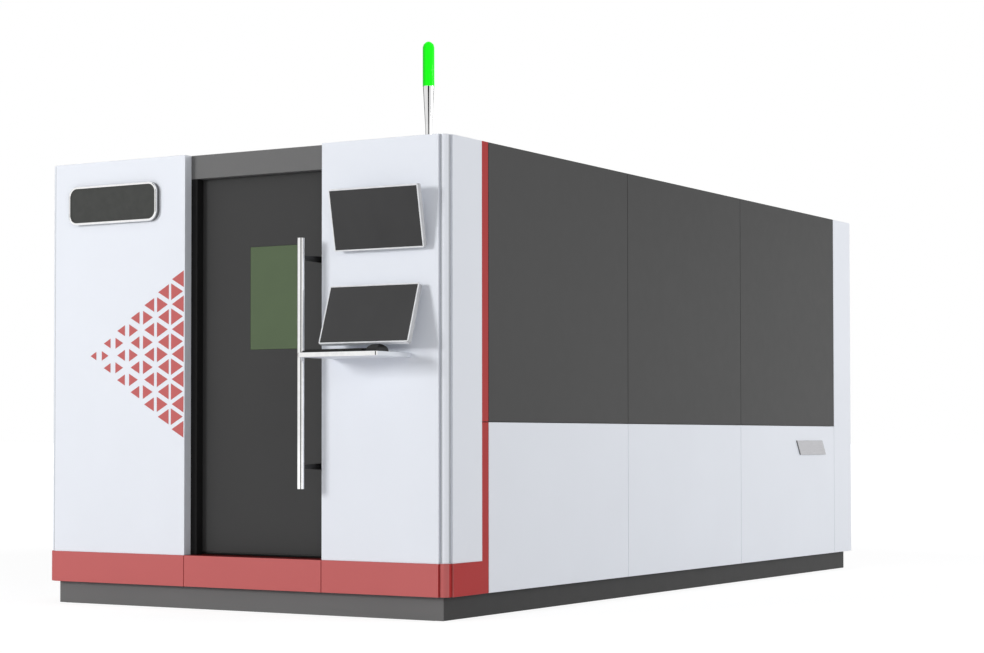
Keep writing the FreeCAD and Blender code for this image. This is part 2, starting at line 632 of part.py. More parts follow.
def make_red_bands():
    """Red band round the foot of the front, and a red stripe up each side behind the corner skin."""
    y0 = FRONT_Y - BAND_PROUD
    edges = [-SIDE_X + CORNER_FRONT, OPENING_LEFT, OPENING_RIGHT, SIDE_X - CORNER_FRONT]
    gaps = [0.0, SEAM_GAP / 2, SEAM_GAP / 2, 0.0]
    bands = []
    for i in range(len(edges) - 1):
        bands.append(pan(edges[i] + gaps[i], edges[i + 1] - gaps[i + 1], y0, y0 + BAND_DEPTH,
                         PLINTH_HEIGHT, BAND_TOP, "front"))
    bands += both_sides(corner_strip(PLINTH_HEIGHT, BAND_TOP, BAND_PROUD))
    bands += both_sides(pan(FRAME_X, SIDE_X + BAND_PROUD, WRAP_START, STRIPE_START,
                            PLINTH_HEIGHT, BAND_TOP, "right"))
    for z0, z1 in ((PLINTH_HEIGHT, SEAM_HEIGHT - SEAM_GAP / 2), (SEAM_HEIGHT + SEAM_GAP / 2, BODY_HEIGHT)):
        bands += both_sides(side_skin(STRIPE_START, PANELS_START - SEAM_GAP, z0, z1))
    return bands


def side_skin(y0, y1, z0, z1):
    return pan(FRAME_X, SIDE_X, y0, y1, z0, z1, "right")


def side_row(z0, z1):
    """Three equal side panels a side, with open seams between them."""
    row = []
    for i in range(SIDE_PANEL_COUNT):
        y0 = PANELS_START + i * SIDE_PANEL_LENGTH
        row += both_sides(side_skin(y0, y0 + SIDE_PANEL_LENGTH - SEAM_GAP, z0, z1))
    return row


def make_upper_panels():
    return side_row(SEAM_HEIGHT + SEAM_GAP / 2, BODY_HEIGHT) + [rear_skin(PORT_TOP, BODY_HEIGHT)]


def make_lower_panels():
    return side_row(PLINTH_HEIGHT, SEAM_HEIGHT - SEAM_GAP / 2) + [rear_skin(PLINTH_HEIGHT, PORT_BOTTOM)]


def rear_corner_skin():
    """White rear corner skin, folded round the corner with a soft bend."""
    def block(margin, z0, z1):
        solid = box(SIDE_X - REAR_CORNER_WIDTH + margin, SIDE_X - margin,
                    PANELS_END + margin, REAR_Y - margin, z0, z1)
        bend = [e for e in solid.Edges if abs(e.Vertexes[0].Z - e.Vertexes[1].Z) > SKIN
                and e.Vertexes[0].X > SIDE_X - 2 * SKIN and e.Vertexes[0].Y > REAR_Y - 2 * SKIN]
        return solid.makeFillet(REAR_CORNER_RADIUS - margin, bend)
    outer = block(0, PLINTH_HEIGHT, BODY_HEIGHT)
    inner = block(SKIN, PLINTH_HEIGHT + SKIN, BODY_HEIGHT - SKIN)
    room = box(SIDE_X - REAR_CORNER_WIDTH, FRAME_X, PANELS_END, REAR_Y - SIDE_DEPTH,
               PLINTH_HEIGHT, BODY_HEIGHT)
    return outer.cut(inner).cut(room)


def make_corner_skins():
    """White skins of the corners: flat ones behind the front corners, folded ones at the rear."""
    front = side_skin(WRAP_START, STRIPE_START, BAND_TOP, BODY_HEIGHT)
    return both_sides(front) + both_sides(rear_corner_skin())


def rear_skin(z0, z1):
    x = SIDE_X - REAR_CORNER_WIDTH - SEAM_GAP
    return pan(-x, x, REAR_Y - SIDE_DEPTH, REAR_Y, z0, z1, "rear")


def make_roof_panels():
    """Roof pans on the frame, between the tops of the side skins; the first reaches out under
    the tops of the front panels and clears the header."""
    start = FRONT_Y + ROOF_MARGIN
    pitch = (REAR_Y - SIDE_DEPTH - start) / ROOF_PAN_COUNT
    pans = []
    for i in range(ROOF_PAN_COUNT):
        y0 = start + i * pitch
        gap = SEAM_GAP if i < ROOF_PAN_COUNT - 1 else 0.0
        pans.append(pan(-FRAME_X, FRAME_X, y0, y0 + pitch - gap, FRAME_TOP, ROOF_TOP, "top"))
    header_back = FRONT_Y + HEADER_RECESS + HEADER_DEPTH + ROOF_CLEARANCE
    notch = box(OPENING_LEFT - SKIN, OPENING_RIGHT + SKIN, FRONT_Y, header_back, FRAME_TOP, BODY_HEIGHT)
    corner = box(SIDE_X - CORNER_FRONT - SKIN, SIDE_X, FRONT_Y, WRAP_START, FRAME_TOP, BODY_HEIGHT)
    pans[0] = pans[0].cut(notch).cut(corner).cut(mirrored(corner))
    return pans


# ---------------------------------------------------------------- sliding door
def make_jamb_seals():
    """Dark sealing strips: they sit behind the folded edges of the jambs and wipe the leaf."""
    y0, y1 = FRONT_Y + FRONT_DEPTH, DOOR_FACE - SEAL_CLEARANCE
    left = box(OPENING_LEFT - SKIN, OPENING_LEFT + SEAL_WIDTH_LEFT, y0, y1, BAND_TOP, HEADER_BOTTOM)
    right = box(OPENING_RIGHT - SEAL_WIDTH_RIGHT, OPENING_RIGHT + SKIN, y0, y1, BAND_TOP, HEADER_BOTTOM)
    return [left, right]


def make_door_leaf():
    """Dark leaf with a rebated window opening and a groove under it for the guide fin."""
    leaf = box(DOOR_LEFT, DOOR_RIGHT, DOOR_FACE, DOOR_BACK, DOOR_BOTTOM, DOOR_TOP)
    w, h = WINDOW_WIDTH / 2, WINDOW_HEIGHT / 2
    cx, cz = WINDOW_X, WINDOW_CENTRE_Z
    rebate = box(cx - w, cx + w, DOOR_FACE, DOOR_FACE + WINDOW_GLASS, cz - h, cz + h)
    hole = box(cx - w + WINDOW_REBATE, cx + w - WINDOW_REBATE, DOOR_FACE, DOOR_BACK,
               cz - h + WINDOW_REBATE, cz + h - WINDOW_REBATE)
    half = GUIDE_FIN_THICKNESS / 2 + GUIDE_CLEARANCE
    middle = (DOOR_FACE + DOOR_BACK) / 2
    groove = box(DOOR_LEFT, DOOR_RIGHT, middle - half, middle + half,
                 DOOR_BOTTOM, DOOR_BOTTOM + GUIDE_FIN_HEIGHT + GUIDE_CLEARANCE)
    return leaf.cut(rebate).cut(hole).cut(groove)


def make_door_window():
    w, h = WINDOW_WIDTH / 2 - WINDOW_FIT, WINDOW_HEIGHT / 2 - WINDOW_FIT
    return box(WINDOW_X - w, WINDOW_X + w, DOOR_FACE, DOOR_FACE + WINDOW_GLASS,
               WINDOW_CENTRE_Z - h, WINDOW_CENTRE_Z + h)


def handle_post_heights():
    return [HANDLE_BOTTOM + HANDLE_POST_INSET_BOTTOM, HANDLE_TOP - HANDLE_POST_INSET_TOP]


def make_handle_bar(room=0.0):
    return cylinder(HANDLE_BAR_RADIUS + room, (HANDLE_X, HANDLE_Y, HANDLE_BOTTOM), (0, 0, 1),
                    HANDLE_TOP - HANDLE_BOTTOM)


def make_handle_posts():
    """Tapered stand-offs, each hollowed to the bar at one end and flat on the leaf at the other."""
    x, at_bar, at_door = HANDLE_X - HANDLE_POST_WIDTH / 2, HANDLE_POST_AT_BAR / 2, HANDLE_POST_AT_DOOR / 2
    hollow = make_handle_bar(HANDLE_POST_FIT)
    posts = []
    for z in handle_post_heights():
        outline = [(x, HANDLE_Y, z - at_bar), (x, DOOR_FACE, z - at_door),
                   (x, DOOR_FACE, z + at_door), (x, HANDLE_Y, z + at_bar)]
        posts.append(prism(outline, (HANDLE_POST_WIDTH, 0, 0)).cut(hollow))
    return posts


def roller_places():
    return [DOOR_LEFT + ROLLER_INSET, DOOR_RIGHT - ROLLER_INSET]


def make_door_track():
    """Flat bar on edge behind the leaf, held off the roof beam by spacers."""
    left, right = roller_places()[0] - DOOR_TRAVEL - ROLLER_INSET / 2, DOOR_RIGHT
    bottom = TRACK_TOP - TRACK_HEIGHT
    bar = box(left, right, TRACK_FRONT, TRACK_BACK, bottom, TRACK_TOP)
    pitch = (right - left - TUBE) / (TRACK_SPACER_COUNT - 1)
    places = [left + i * pitch for i in range(TRACK_SPACER_COUNT)]
    top = TRACK_TOP - TRACK_SPACER_DROP
    return [bar] + [box(x, x + TUBE, TRACK_BACK, FRONT_BEAM_Y, bottom, top) for x in places]


def make_door_hangers():
    """Plates on the back of the leaf; each carries the stub pin of a track roller."""
    hangers = []
    half, back = HANGER_WIDTH / 2, DOOR_BACK + HANGER_PLATE
    reach = ROLLER_Y + ROLLER_WIDTH / 2 + SHAFT_END_GAP - back
    for x in roller_places():
        hanger = box(x - half, x + half, DOOR_BACK, back, DOOR_TOP - HANGER_DROP, ROLLER_Z + 2 * PIN_RADIUS)
        hangers.append(hanger.fuse(cylinder(PIN_RADIUS, (x, back, ROLLER_Z), (0, 1, 0), reach)))
    return hangers


def make_roller(x):
    """Track roller: a tread bored for its hanger's pin, between two washers that straddle the track."""
    half, groove = ROLLER_WIDTH / 2, TRACK_THICKNESS / 2 + ROLLER_SIDE_GAP
    centre, axis = (x, ROLLER_Y, ROLLER_Z), (0, 1, 0)
    tread = turned([(ROLLER_RADIUS, -groove), (ROLLER_RADIUS, groove)], centre, axis)
    bore = cylinder(PIN_RADIUS + PIN_FIT, (x, ROLLER_Y - half, ROLLER_Z), axis, ROLLER_WIDTH)
    discs = [tread.cut(bore)]
    for start, end in ((-half, -groove), (groove, half)):
        rim, hole = ROLLER_RADIUS + ROLLER_FLANGE, PIN_RADIUS + WASHER_ROOM
        washer = turned([(rim, start), (rim, end)], centre, axis)
        discs.append(washer.cut(turned([(hole, start), (hole, end)], centre, axis)))
    return discs


# ---------------------------------------------------------------- rear gate
def make_rear_gate():
    """Lifting gate: a leaf with a pocketed back, and a lug and a piston rod at each side."""
    x = PORT_HALF_WIDTH + GATE_LAP
    leaf = box(-x, x, GATE_Y, GATE_Y + GATE_THICKNESS, GATE_BOTTOM + GATE_REST_GAP, GATE_TOP)
    pocket = box(-x + TUBE, x - TUBE, GATE_Y + 2 * SKIN, GATE_Y + GATE_THICKNESS,
                 GATE_BOTTOM + TUBE, GATE_TOP - TUBE)
    half, z = LUG_SIZE / 2, GATE_BOTTOM + GATE_LAP
    lug = box(CYLINDER_X - half, CYLINDER_X + half, CYLINDER_Y - half, GATE_Y, z, z + half)
    rod = cylinder(CYLINDER_ROD_RADIUS, (CYLINDER_X, CYLINDER_Y, z + half), (0, 0, 1),
                   CYLINDER_BOTTOM + LUG_SIZE - z - half)
    return [leaf.cut(pocket)] + both_sides(lug) + both_sides(rod)


def make_gate_guides():
    """Grooved side guides on the port posts, closed at the foot, where the gate comes to rest."""
    x0, x1 = PORT_HALF_WIDTH + GATE_GUIDE_INSET, PORT_HALF_WIDTH + TUBE - 2 * GATE_GUIDE_INSET
    top = GATE_TOP + GATE_TRAVEL + GATE_LAP
    guide = box(x0, x1, GATE_Y - GATE_GUIDE_WALL - GATE_CLEARANCE, REAR_POST_Y,
                GATE_BOTTOM - GATE_LAP, top)
    slot = box(x0, PORT_HALF_WIDTH + GATE_LAP + GATE_CLEARANCE, GATE_Y - GATE_CLEARANCE,
               GATE_Y + GATE_THICKNESS + GATE_CLEARANCE, GATE_BOTTOM, top)
    return both_sides(guide.cut(slot))


def make_gate_cylinders():
    """Square pneumatic barrels hung from the rear beam, bored for the gate's piston rods."""
    top = CYLINDER_BEAM_Z + TUBE
    barrel = box(CYLINDER_X - CYLINDER_HALF, CYLINDER_X + CYLINDER_HALF,
                 CYLINDER_Y - CYLINDER_HALF, CYLINDER_Y + CYLINDER_HALF, CYLINDER_BOTTOM, top)
    hanger = box(CYLINDER_X - LUG_SIZE / 2, CYLINDER_X + LUG_SIZE / 2, CYLINDER_Y, REAR_POST_Y,
                 top - TUBE / 2, top)
    bore = cylinder(CYLINDER_ROD_RADIUS + PIN_FIT, (CYLINDER_X, CYLINDER_Y, CYLINDER_BOTTOM), (0, 0, 1),
                    GATE_TRAVEL + LUG_SIZE + GATE_LAP)
    return both_sides(fused([barrel, hanger]).cut(bore))


# ---------------------------------------------------------------- bed
def make_bed():
    """Welded bed: two box beams, low cross beams, a sheet hopper and ledges the table runs on."""
    pieces = both_sides(box(BED_INNER, BED_OUTER, BED_FRONT, BED_REAR, BED_BOTTOM, BED_TOP))
    half, y0, y1 = BED_CROSS_WIDTH / 2, BED_STATIONS[0], BED_STATIONS[-1]
    for station in BED_STATIONS:
        pieces.append(box(-BED_INNER, BED_INNER, station - half, station + half, BED_BOTTOM, BED_CROSS_TOP))
    pieces += both_sides(box(WHEEL_X - LEDGE_GAP, BED_INNER, BED_FRONT + TUBE, BED_REAR - TUBE / 2,
                             PALLET_RAIL_TOP - PALLET_RAIL_THICKNESS, PALLET_RAIL_TOP))
    flat, rim, sheet = BED_CROSS_TOP, BED_CROSS_TOP + HOPPER_RISE, 2 * SKIN
    pieces.append(box(-HOPPER_HALF_FLAT, HOPPER_HALF_FLAT, y0, y1, flat, flat + sheet))
    slope = [(HOPPER_HALF_FLAT, y0, flat), (BED_INNER, y0, rim), (BED_INNER, y0, rim + sheet),
             (HOPPER_HALF_FLAT, y0, flat + sheet)]
    return pieces + both_sides(prism(slope, (0, y1 - y0, 0)))


def make_levelling_feet():
    """Twelve levelling feet on the base, each a square pad with a hexagon jacking bolt."""
    feet = []
    half, bolt = FOOT_PAD_SIZE / 2, FOOT_BOLT_ACROSS / 2
    pad_top = PLINTH_HEIGHT + FOOT_PAD_HEIGHT
    for station in BED_STATIONS:
        for x in (-BED_BEAM_X, BED_BEAM_X):
            pad = box(x - half, x + half, station - half, station + half, PLINTH_HEIGHT, pad_top)
            turns = [math.radians(60 * i) for i in range(6)]
            hexagon = [(x + bolt * math.cos(t), station + bolt * math.sin(t), pad_top) for t in turns]
            feet.append(pad.fuse(prism(hexagon, (0, 0, FOOT_HEIGHT - FOOT_PAD_HEIGHT))))
    return feet


def make_gantry_rails():
    """Two profiled rails on the bed beams, waisted for the bearing blocks."""
    half, waist = RAIL_WIDTH / 2, RAIL_WIDTH / 2 - RAIL_WAIST
    levels = [0, RAIL_FOOT, RAIL_HEIGHT / 2, RAIL_HEIGHT - RAIL_FOOT, RAIL_HEIGHT]
    right = list(zip([half, half, waist, half, half], levels))
    outline = [(BED_BEAM_X + x, BED_FRONT + TUBE, BED_TOP + z) for x, z in right]
    outline += [(BED_BEAM_X - x, BED_FRONT + TUBE, BED_TOP + z) for x, z in reversed(right)]
    return both_sides(prism(outline, (0, BED_REAR - BED_FRONT - 2 * TUBE, 0)))


def make_gantry_racks():
    """Racks on the outer faces of the bed beams, drawn at their pitch line."""
    rack = box(BED_OUTER, BED_OUTER + RACK_WIDTH, BED_FRONT + TUBE, BED_REAR - TUBE,
               PINION_TOP - RACK_HEIGHT, PINION_TOP)
    return both_sides(rack)


# ---------------------------------------------------------------- slat table
def wheelset_places():
    span = PALLET_LENGTH - 2 * WHEELSET_INSET
    return [PALLET_FRONT + WHEELSET_INSET + i * span / (WHEELSET_COUNT - 1) for i in range(WHEELSET_COUNT)]


def slat_places():
    pitch = (PALLET_LENGTH - 2 * PALLET_BAR) / SLAT_COUNT
    return [PALLET_FRONT + PALLET_BAR + (i + 0.5) * pitch for i in range(SLAT_COUNT)]


def make_pallet():
    """Table frame: side bars notched for the axles, end bars, and a slotted comb along each side."""
    side = box(PALLET_INNER, PALLET_HALF_WIDTH, PALLET_FRONT, PALLET_REAR,
               PALLET_SIDE_BOTTOM, PALLET_SIDE_TOP)
    fit = AXLE_RADIUS + PIN_FIT
    for y in wheelset_places():
        side = side.cut(box(PALLET_INNER, PALLET_HALF_WIDTH, y - fit, y + fit,
                            PALLET_SIDE_BOTTOM, AXLE_Z + fit))
    comb = box(PALLET_INNER - COMB_WIDTH, PALLET_INNER, PALLET_FRONT + PALLET_BAR, PALLET_REAR - PALLET_BAR,
               COMB_TOP - COMB_HEIGHT, COMB_TOP)
    half = SLAT_THICKNESS / 2 + COMB_SLOT_FIT
    slots = [box(PALLET_INNER - COMB_WIDTH, PALLET_INNER, y - half, y + half, SLAT_FOOT_Z, COMB_TOP)
             for y in slat_places()]
    end = box(-PALLET_INNER, PALLET_INNER, PALLET_FRONT, PALLET_FRONT + PALLET_BAR,
              PALLET_SIDE_BOTTOM + PALLET_BAR, PALLET_SIDE_TOP)
    ends = [end, end.translated(Vector(0, PALLET_LENGTH - PALLET_BAR, 0))]
    return both_sides(side) + both_sides(comb.cut(Part.makeCompound(slots))) + ends


def make_slats():
    """Toothed support slats, one profile cut with a row of points and copied along the table."""
    half, valley = PALLET_INNER - SLAT_END_GAP, SLAT_TIP_Z - SLAT_TOOTH_HEIGHT
    pitch = 2 * half / SLAT_TOOTH_COUNT
    outline = [(-half, 0, SLAT_FOOT_Z), (half, 0, SLAT_FOOT_Z)]
    for i in range(SLAT_TOOTH_COUNT):
        x = half - i * pitch
        outline += [(x, 0, valley), (x - pitch / 2, 0, SLAT_TIP_Z)]
    outline.append((-half, 0, valley))
    slat = prism(outline, (0, SLAT_THICKNESS, 0))
    return [slat.translated(Vector(0, y - SLAT_THICKNESS / 2, 0)) for y in slat_places()]


def make_wheelset(y):
    """One axle with a wheel pressed on each end."""
    axle = cylinder(AXLE_RADIUS, (-WHEEL_X, y, AXLE_Z), (1, 0, 0), 2 * WHEEL_X)
    wheel = cylinder(WHEEL_RADIUS, (WHEEL_X, y, AXLE_Z), (1, 0, 0), WHEEL_WIDTH)
    return [axle] + both_sides(wheel)


# ---------------------------------------------------------------- gantry
def make_gantry_beam():
    """Closed aluminium box beam, chamfered along its two back edges to save weight."""
    y0, y1 = BEAM_FACE, GANTRY_Y + BEAM_DEPTH / 2
    z0, z1 = BEAM_BOTTOM, BEAM_BOTTOM + BEAM_HEIGHT
    start, cut = -BEAM_HALF_LENGTH, BEAM_CHAMFER
    outline = [(start, y0, z0), (start, y1 - cut, z0), (start, y1, z0 + cut), (start, y1, z1 - cut),
               (start, y1 - cut, z1), (start, y0, z1)]
    return prism(outline, (2 * BEAM_HALF_LENGTH, 0, 0))


def make_cross_rails():
    """Two rails and the rack across the face of the beam."""
    half = X_RAIL_SIZE / 2
    rails = [box(-X_RAIL_HALF, X_RAIL_HALF, BEAM_FACE - X_RAIL_DEPTH, BEAM_FACE, z - half, z + half)
             for z in (X_RAIL_LOWER, X_RAIL_UPPER)]
    rack = box(-X_RAIL_HALF, X_RAIL_HALF, BEAM_FACE - X_RAIL_DEPTH, BEAM_FACE,
               X_RACK_Z, X_RACK_Z + X_RACK_SIZE)
    return rails + [rack]


def make_trucks():
    """End trucks under the beam on two bearing blocks, each slotted so that its pinion can be set."""
    y0, y1 = GANTRY_Y - TRUCK_LENGTH / 2, GANTRY_Y + TRUCK_LENGTH / 2
    outer = BED_BEAM_X + TRUCK_OUTSIDE
    truck = box(BED_BEAM_X - TRUCK_INSIDE, outer, y0, y1, BLOCK_TOP, BEAM_BOTTOM)
    fit = PINION_RADIUS + DRIVE_SLOT_FIT
    opening = box(PINION_X - fit, outer, PINION_Y - fit, PINION_Y + fit, BLOCK_TOP, BEAM_BOTTOM)
    pieces = both_sides(truck.cut(opening))
    half, slot = BLOCK_WIDTH / 2, RAIL_WIDTH / 2 + BLOCK_FIT
    for y in (y0, y1 - BLOCK_LENGTH):
        block = box(BED_BEAM_X - half, BED_BEAM_X + half, y, y + BLOCK_LENGTH,
                    RAIL_TOP - BLOCK_SKIRT, BLOCK_TOP)
        channel = box(BED_BEAM_X - slot, BED_BEAM_X + slot, y, y + BLOCK_LENGTH,
                      BED_TOP, RAIL_TOP + BLOCK_FIT)
        pieces += both_sides(block.cut(channel))
    return pieces


def servo(centre, axis, length):
    """Servo motor with its gearbox: a square gearbox, a slimmer motor and an encoder cap."""
    half, slim, cap = MOTOR_SIZE / 2, MOTOR_SLIM / 2, MOTOR_CAP_SIZE / 2
    gearbox = box(-half, half, -half, half, 0, GEARBOX_LENGTH)
    motor = box(-slim, slim, -slim, slim, GEARBOX_LENGTH, length)
    corners = [e for e in motor.Edges if abs(e.Vertexes[0].Z - e.Vertexes[1].Z) > length / 2]
    motor = motor.makeChamfer(MOTOR_CORNER, corners)
    encoder = box(-cap, cap, -cap, cap, length, length + MOTOR_CAP_LENGTH)
    solid = fused([gearbox, motor, encoder])
    solid.Placement = FreeCAD.Placement(Vector(*centre), FreeCAD.Rotation(Vector(0, 0, 1), Vector(*axis)))
    return solid


def make_gantry_motors():
    return both_sides(servo((PINION_X, PINION_Y, BEAM_BOTTOM), (0, 0, 1), MOTOR_LENGTH))


def make_gantry_pinion():
    """Pinion shaft at its pitch radius, from the rack up through the truck to its motor."""
    foot = PINION_TOP - PINION_HEIGHT
    return cylinder(PINION_RADIUS, (PINION_X, PINION_Y, foot), (0, 0, 1), BEAM_BOTTOM - SHAFT_END_GAP - foot)


# ---------------------------------------------------------------- carriage and head
def make_carriage():
    """Carriage plate with the two vertical rails and the lift motor's shelf, on four bearing blocks."""
    x0, x1 = CARRIAGE_X - CARRIAGE_HALF_WIDTH, CARRIAGE_X + CARRIAGE_HALF_WIDTH
    rail, shelf, fit = Z_RAIL_WIDTH / 2, MOTOR_SIZE / 2, X_PINION_RADIUS + DRIVE_SLOT_FIT
    pieces = [box(x0, x1, PLATE_FACE, PLATE_BACK, CARRIAGE_BOTTOM, CARRIAGE_TOP)]
    for x in (CARRIAGE_X - Z_RAIL_OFFSET, CARRIAGE_X + Z_RAIL_OFFSET):
        pieces.append(box(x - rail, x + rail, PLATE_FACE - Z_RAIL_DEPTH, PLATE_FACE,
                          CARRIAGE_BOTTOM, CARRIAGE_TOP))
    pieces.append(box(CARRIAGE_X - shelf, CARRIAGE_X + shelf, SCREW_Y - shelf, PLATE_BACK,
                      CARRIAGE_TOP, CARRIAGE_TOP + LIFT_SHELF))
    window = box(X_PINION_X - fit, X_PINION_X + fit, PLATE_FACE, PLATE_BACK,
                 X_PINION_Z - fit, X_PINION_Z + fit)
    bore = cylinder(SCREW_RADIUS + PIN_FIT, (CARRIAGE_X, SCREW_Y, CARRIAGE_TOP), (0, 0, 1), LIFT_SHELF)
    body = fused(pieces).cut(window).cut(bore)
    return [body] + carriage_blocks(x0) + carriage_blocks(x1 - CARRIAGE_BLOCK)


def carriage_blocks(x):
    """The two bearing blocks at one end of the plate, each channelled for its rail."""
    half, slot = CARRIAGE_BLOCK / 2, X_RAIL_SIZE / 2 + BLOCK_FIT
    blocks = []
    for z in (X_RAIL_LOWER, X_RAIL_UPPER):
        block = box(x, x + CARRIAGE_BLOCK, PLATE_BACK, BEAM_FACE - X_RAIL_DEPTH / 2, z - half, z + half)
        channel = box(x, x + CARRIAGE_BLOCK, BEAM_FACE - X_RAIL_DEPTH - BLOCK_FIT, BEAM_FACE,
                      z - slot, z + slot)
        blocks.append(block.cut(channel))
    return blocks


def make_carriage_motors():
    """The cross drive in front of the plate and the lift drive on its shelf."""
    cross = servo((X_PINION_X, PLATE_FACE, X_PINION_Z), (0, -1, 0), MOTOR_LENGTH)
    lift = servo((CARRIAGE_X, SCREW_Y, CARRIAGE_TOP + LIFT_SHELF), (0, 0, 1), MOTOR_LENGTH)
    return [cross, lift]


def make_carriage_pinion():
    """Cross drive pinion shaft at its pitch radius, through the window of the carriage plate."""
    start, end = PLATE_FACE + SHAFT_END_GAP, BEAM_FACE - X_PINION_SETBACK
    return cylinder(X_PINION_RADIUS, (X_PINION_X, start, X_PINION_Z), (0, 1, 0), end - start)


def make_ball_screw():
    """Lift screw, hung in the motor shelf."""
    foot, head = CARRIAGE_BOTTOM + SCREW_END_GAP, CARRIAGE_TOP + LIFT_SHELF - SHAFT_END_GAP
    return cylinder(SCREW_RADIUS, (CARRIAGE_X, SCREW_Y, foot), (0, 0, 1), head - foot)


def make_head_slide():
    """Slide plate with its two bearing blocks and the screw nut."""
    half, slot = Z_BLOCK_WIDTH / 2, Z_RAIL_WIDTH / 2 + BLOCK_FIT
    z0, z1 = Z_BLOCK_BOTTOM, Z_BLOCK_BOTTOM + Z_BLOCK_LENGTH
    pieces = [box(CARRIAGE_X - HEAD_HALF_WIDTH, CARRIAGE_X + HEAD_HALF_WIDTH, HEAD_FACE, HEAD_BACK,
                  HEAD_PLATE_BOTTOM, HEAD_PLATE_TOP)]
    for x in (CARRIAGE_X - Z_RAIL_OFFSET, CARRIAGE_X + Z_RAIL_OFFSET):
        block = box(x - half, x + half, HEAD_BACK, PLATE_FACE - Z_RAIL_DEPTH / 2, z0, z1)
        channel = box(x - slot, x + slot, PLATE_FACE - Z_RAIL_DEPTH - BLOCK_FIT, PLATE_FACE, z0, z1)
        pieces.append(block.cut(channel))
    reach = Z_RAIL_OFFSET - half - NUT_GAP
    nut = box(CARRIAGE_X - reach, CARRIAGE_X + reach, HEAD_BACK, PLATE_FACE - NUT_GAP,
              z0, z0 + Z_BLOCK_LENGTH / 2)
    bore = cylinder(SCREW_RADIUS + PIN_FIT, (CARRIAGE_X, SCREW_Y, z0), (0, 0, 1), Z_BLOCK_LENGTH)
    return pieces + [nut.cut(bore)]


def make_cutting_head():
    """Cutting head: sensor neck, lens body with two drawers, square tower and round collimator."""
    x, y, z, half = CARRIAGE_X, HEAD_Y, NOZZLE_TIP, HEAD_BODY_HALF
    foot, top = z + HEAD_BODY_FOOT, z + HEAD_BODY_TOP
    body = box(x - half, x + half, y - half, HEAD_FACE, foot, top)
    drawer = box(x - half - DRAWER_PROUD, x - half, y - DRAWER_HALF, y + DRAWER_HALF,
                 z + DRAWER_FOOT, z + DRAWER_FOOT + DRAWER_HALF)
    neck = turned([(NECK_RADIUS, NOZZLE_HEIGHT), (COLLAR_RADIUS, HEAD_BODY_FOOT)], (x, y, z))
    tower = box(x - TOWER_HALF, x + TOWER_HALF, y - TOWER_HALF, y + TOWER_HALF, top, top + TOWER_HEIGHT)
    socket = HEAD_TOP - SOCKET_LENGTH
    profile = [(COLLIMATOR_RADIUS, HEAD_BODY_TOP + TOWER_HEIGHT), (COLLIMATOR_RADIUS, socket - SOCKET_TAPER),
               (SOCKET_RADIUS, socket), (SOCKET_RADIUS, HEAD_TOP)]
    collimator = turned(profile, (x, y, z))
    return fused([body, drawer, drawer.translated(Vector(0, 0, DRAWER_PITCH)), neck, tower, collimator])


def make_nozzle():
    """Brass nozzle with its gas bore, below a wider retaining ring."""
    ring = NOZZLE_HEIGHT / 2
    tip = (CARRIAGE_X, HEAD_Y, NOZZLE_TIP)
    profile = [(NOZZLE_TIP_RADIUS, 0), (NOZZLE_SHANK_RADIUS, NOZZLE_CONE), (NOZZLE_SHANK_RADIUS, ring),
               (NOZZLE_RADIUS, ring), (NOZZLE_RADIUS, NOZZLE_HEIGHT)]
    return turned(profile, tip).cut(cylinder(NOZZLE_BORE, tip, (0, 0, 1), NOZZLE_HEIGHT))


# ---------------------------------------------------------------- electrical cabinet
def cabinet_hinge_heights():
    return [FLOOR_TOP + CABINET_HEIGHT * share for share in (HINGE_SHARE, 1 - HINGE_SHARE)]


def cabinet_hinge_axis():
    return CABINET_RIGHT + HINGE_HALF, CABINET_REAR - HINGE_HALF


def make_cabinet():
    """Sheet cabinet with a framed mouth towards the vestibule and the pins its door hangs on."""
    t, f = CABINET_SHEET, CABINET_FRAME
    x0, x1, y0, y1 = CABINET_LEFT, CABINET_MOUTH, CABINET_FRONT, CABINET_REAR
    z0, z1 = FLOOR_TOP, CABINET_TOP
    pieces = [box(x0, x0 + t, y0, y1, z0, z1)]
    pieces += [box(x0 + t, x1, y, y + t, z0, z1) for y in (y0, y1 - t)]
    pieces += [box(x0 + t, x1, y0 + t, y1 - t, z, z + t) for z in (z0, z1 - t)]
    pieces += [box(x1 - t, x1, y, y + f - t, z0 + t, z1 - t) for y in (y0 + t, y1 - f)]
    pieces += [box(x1 - t, x1, y0 + f, y1 - f, z, z + f - t) for z in (z0 + t, z1 - f)]
    x, y = cabinet_hinge_axis()
    for z in cabinet_hinge_heights():
        block = box(x1, x + HINGE_HALF, y - HINGE_HALF, y1, z - HINGE_LENGTH / 2, z)
        pin = cylinder(HINGE_PIN_RADIUS, (x, y, z), (0, 0, 1), HINGE_LENGTH / 2 - HINGE_GAP)
        pieces.append(block.fuse(pin))
    return pieces


def make_cabinet_door():
    """Folded door leaf with the upper halves of its block hinges."""
    x, y = cabinet_hinge_axis()
    y1 = CABINET_REAR - 2 * HINGE_HALF - CABINET_DOOR_GAP
    pieces = [pan(CABINET_MOUTH + CABINET_DOOR_GAP, CABINET_RIGHT, CABINET_FRONT, y1,
                  FLOOR_TOP + CABINET_DOOR_GAP, CABINET_TOP, "right")]
    for z in cabinet_hinge_heights():
        block = box(CABINET_RIGHT - SKIN, x + HINGE_HALF, y1 - SKIN, y + HINGE_HALF,
                    z + HINGE_GAP, z + HINGE_LENGTH / 2)
        bore = cylinder(HINGE_PIN_RADIUS + PIN_FIT, (x, y, z), (0, 0, 1), HINGE_LENGTH)
        pieces.append(block.cut(bore))
    return fused(pieces)


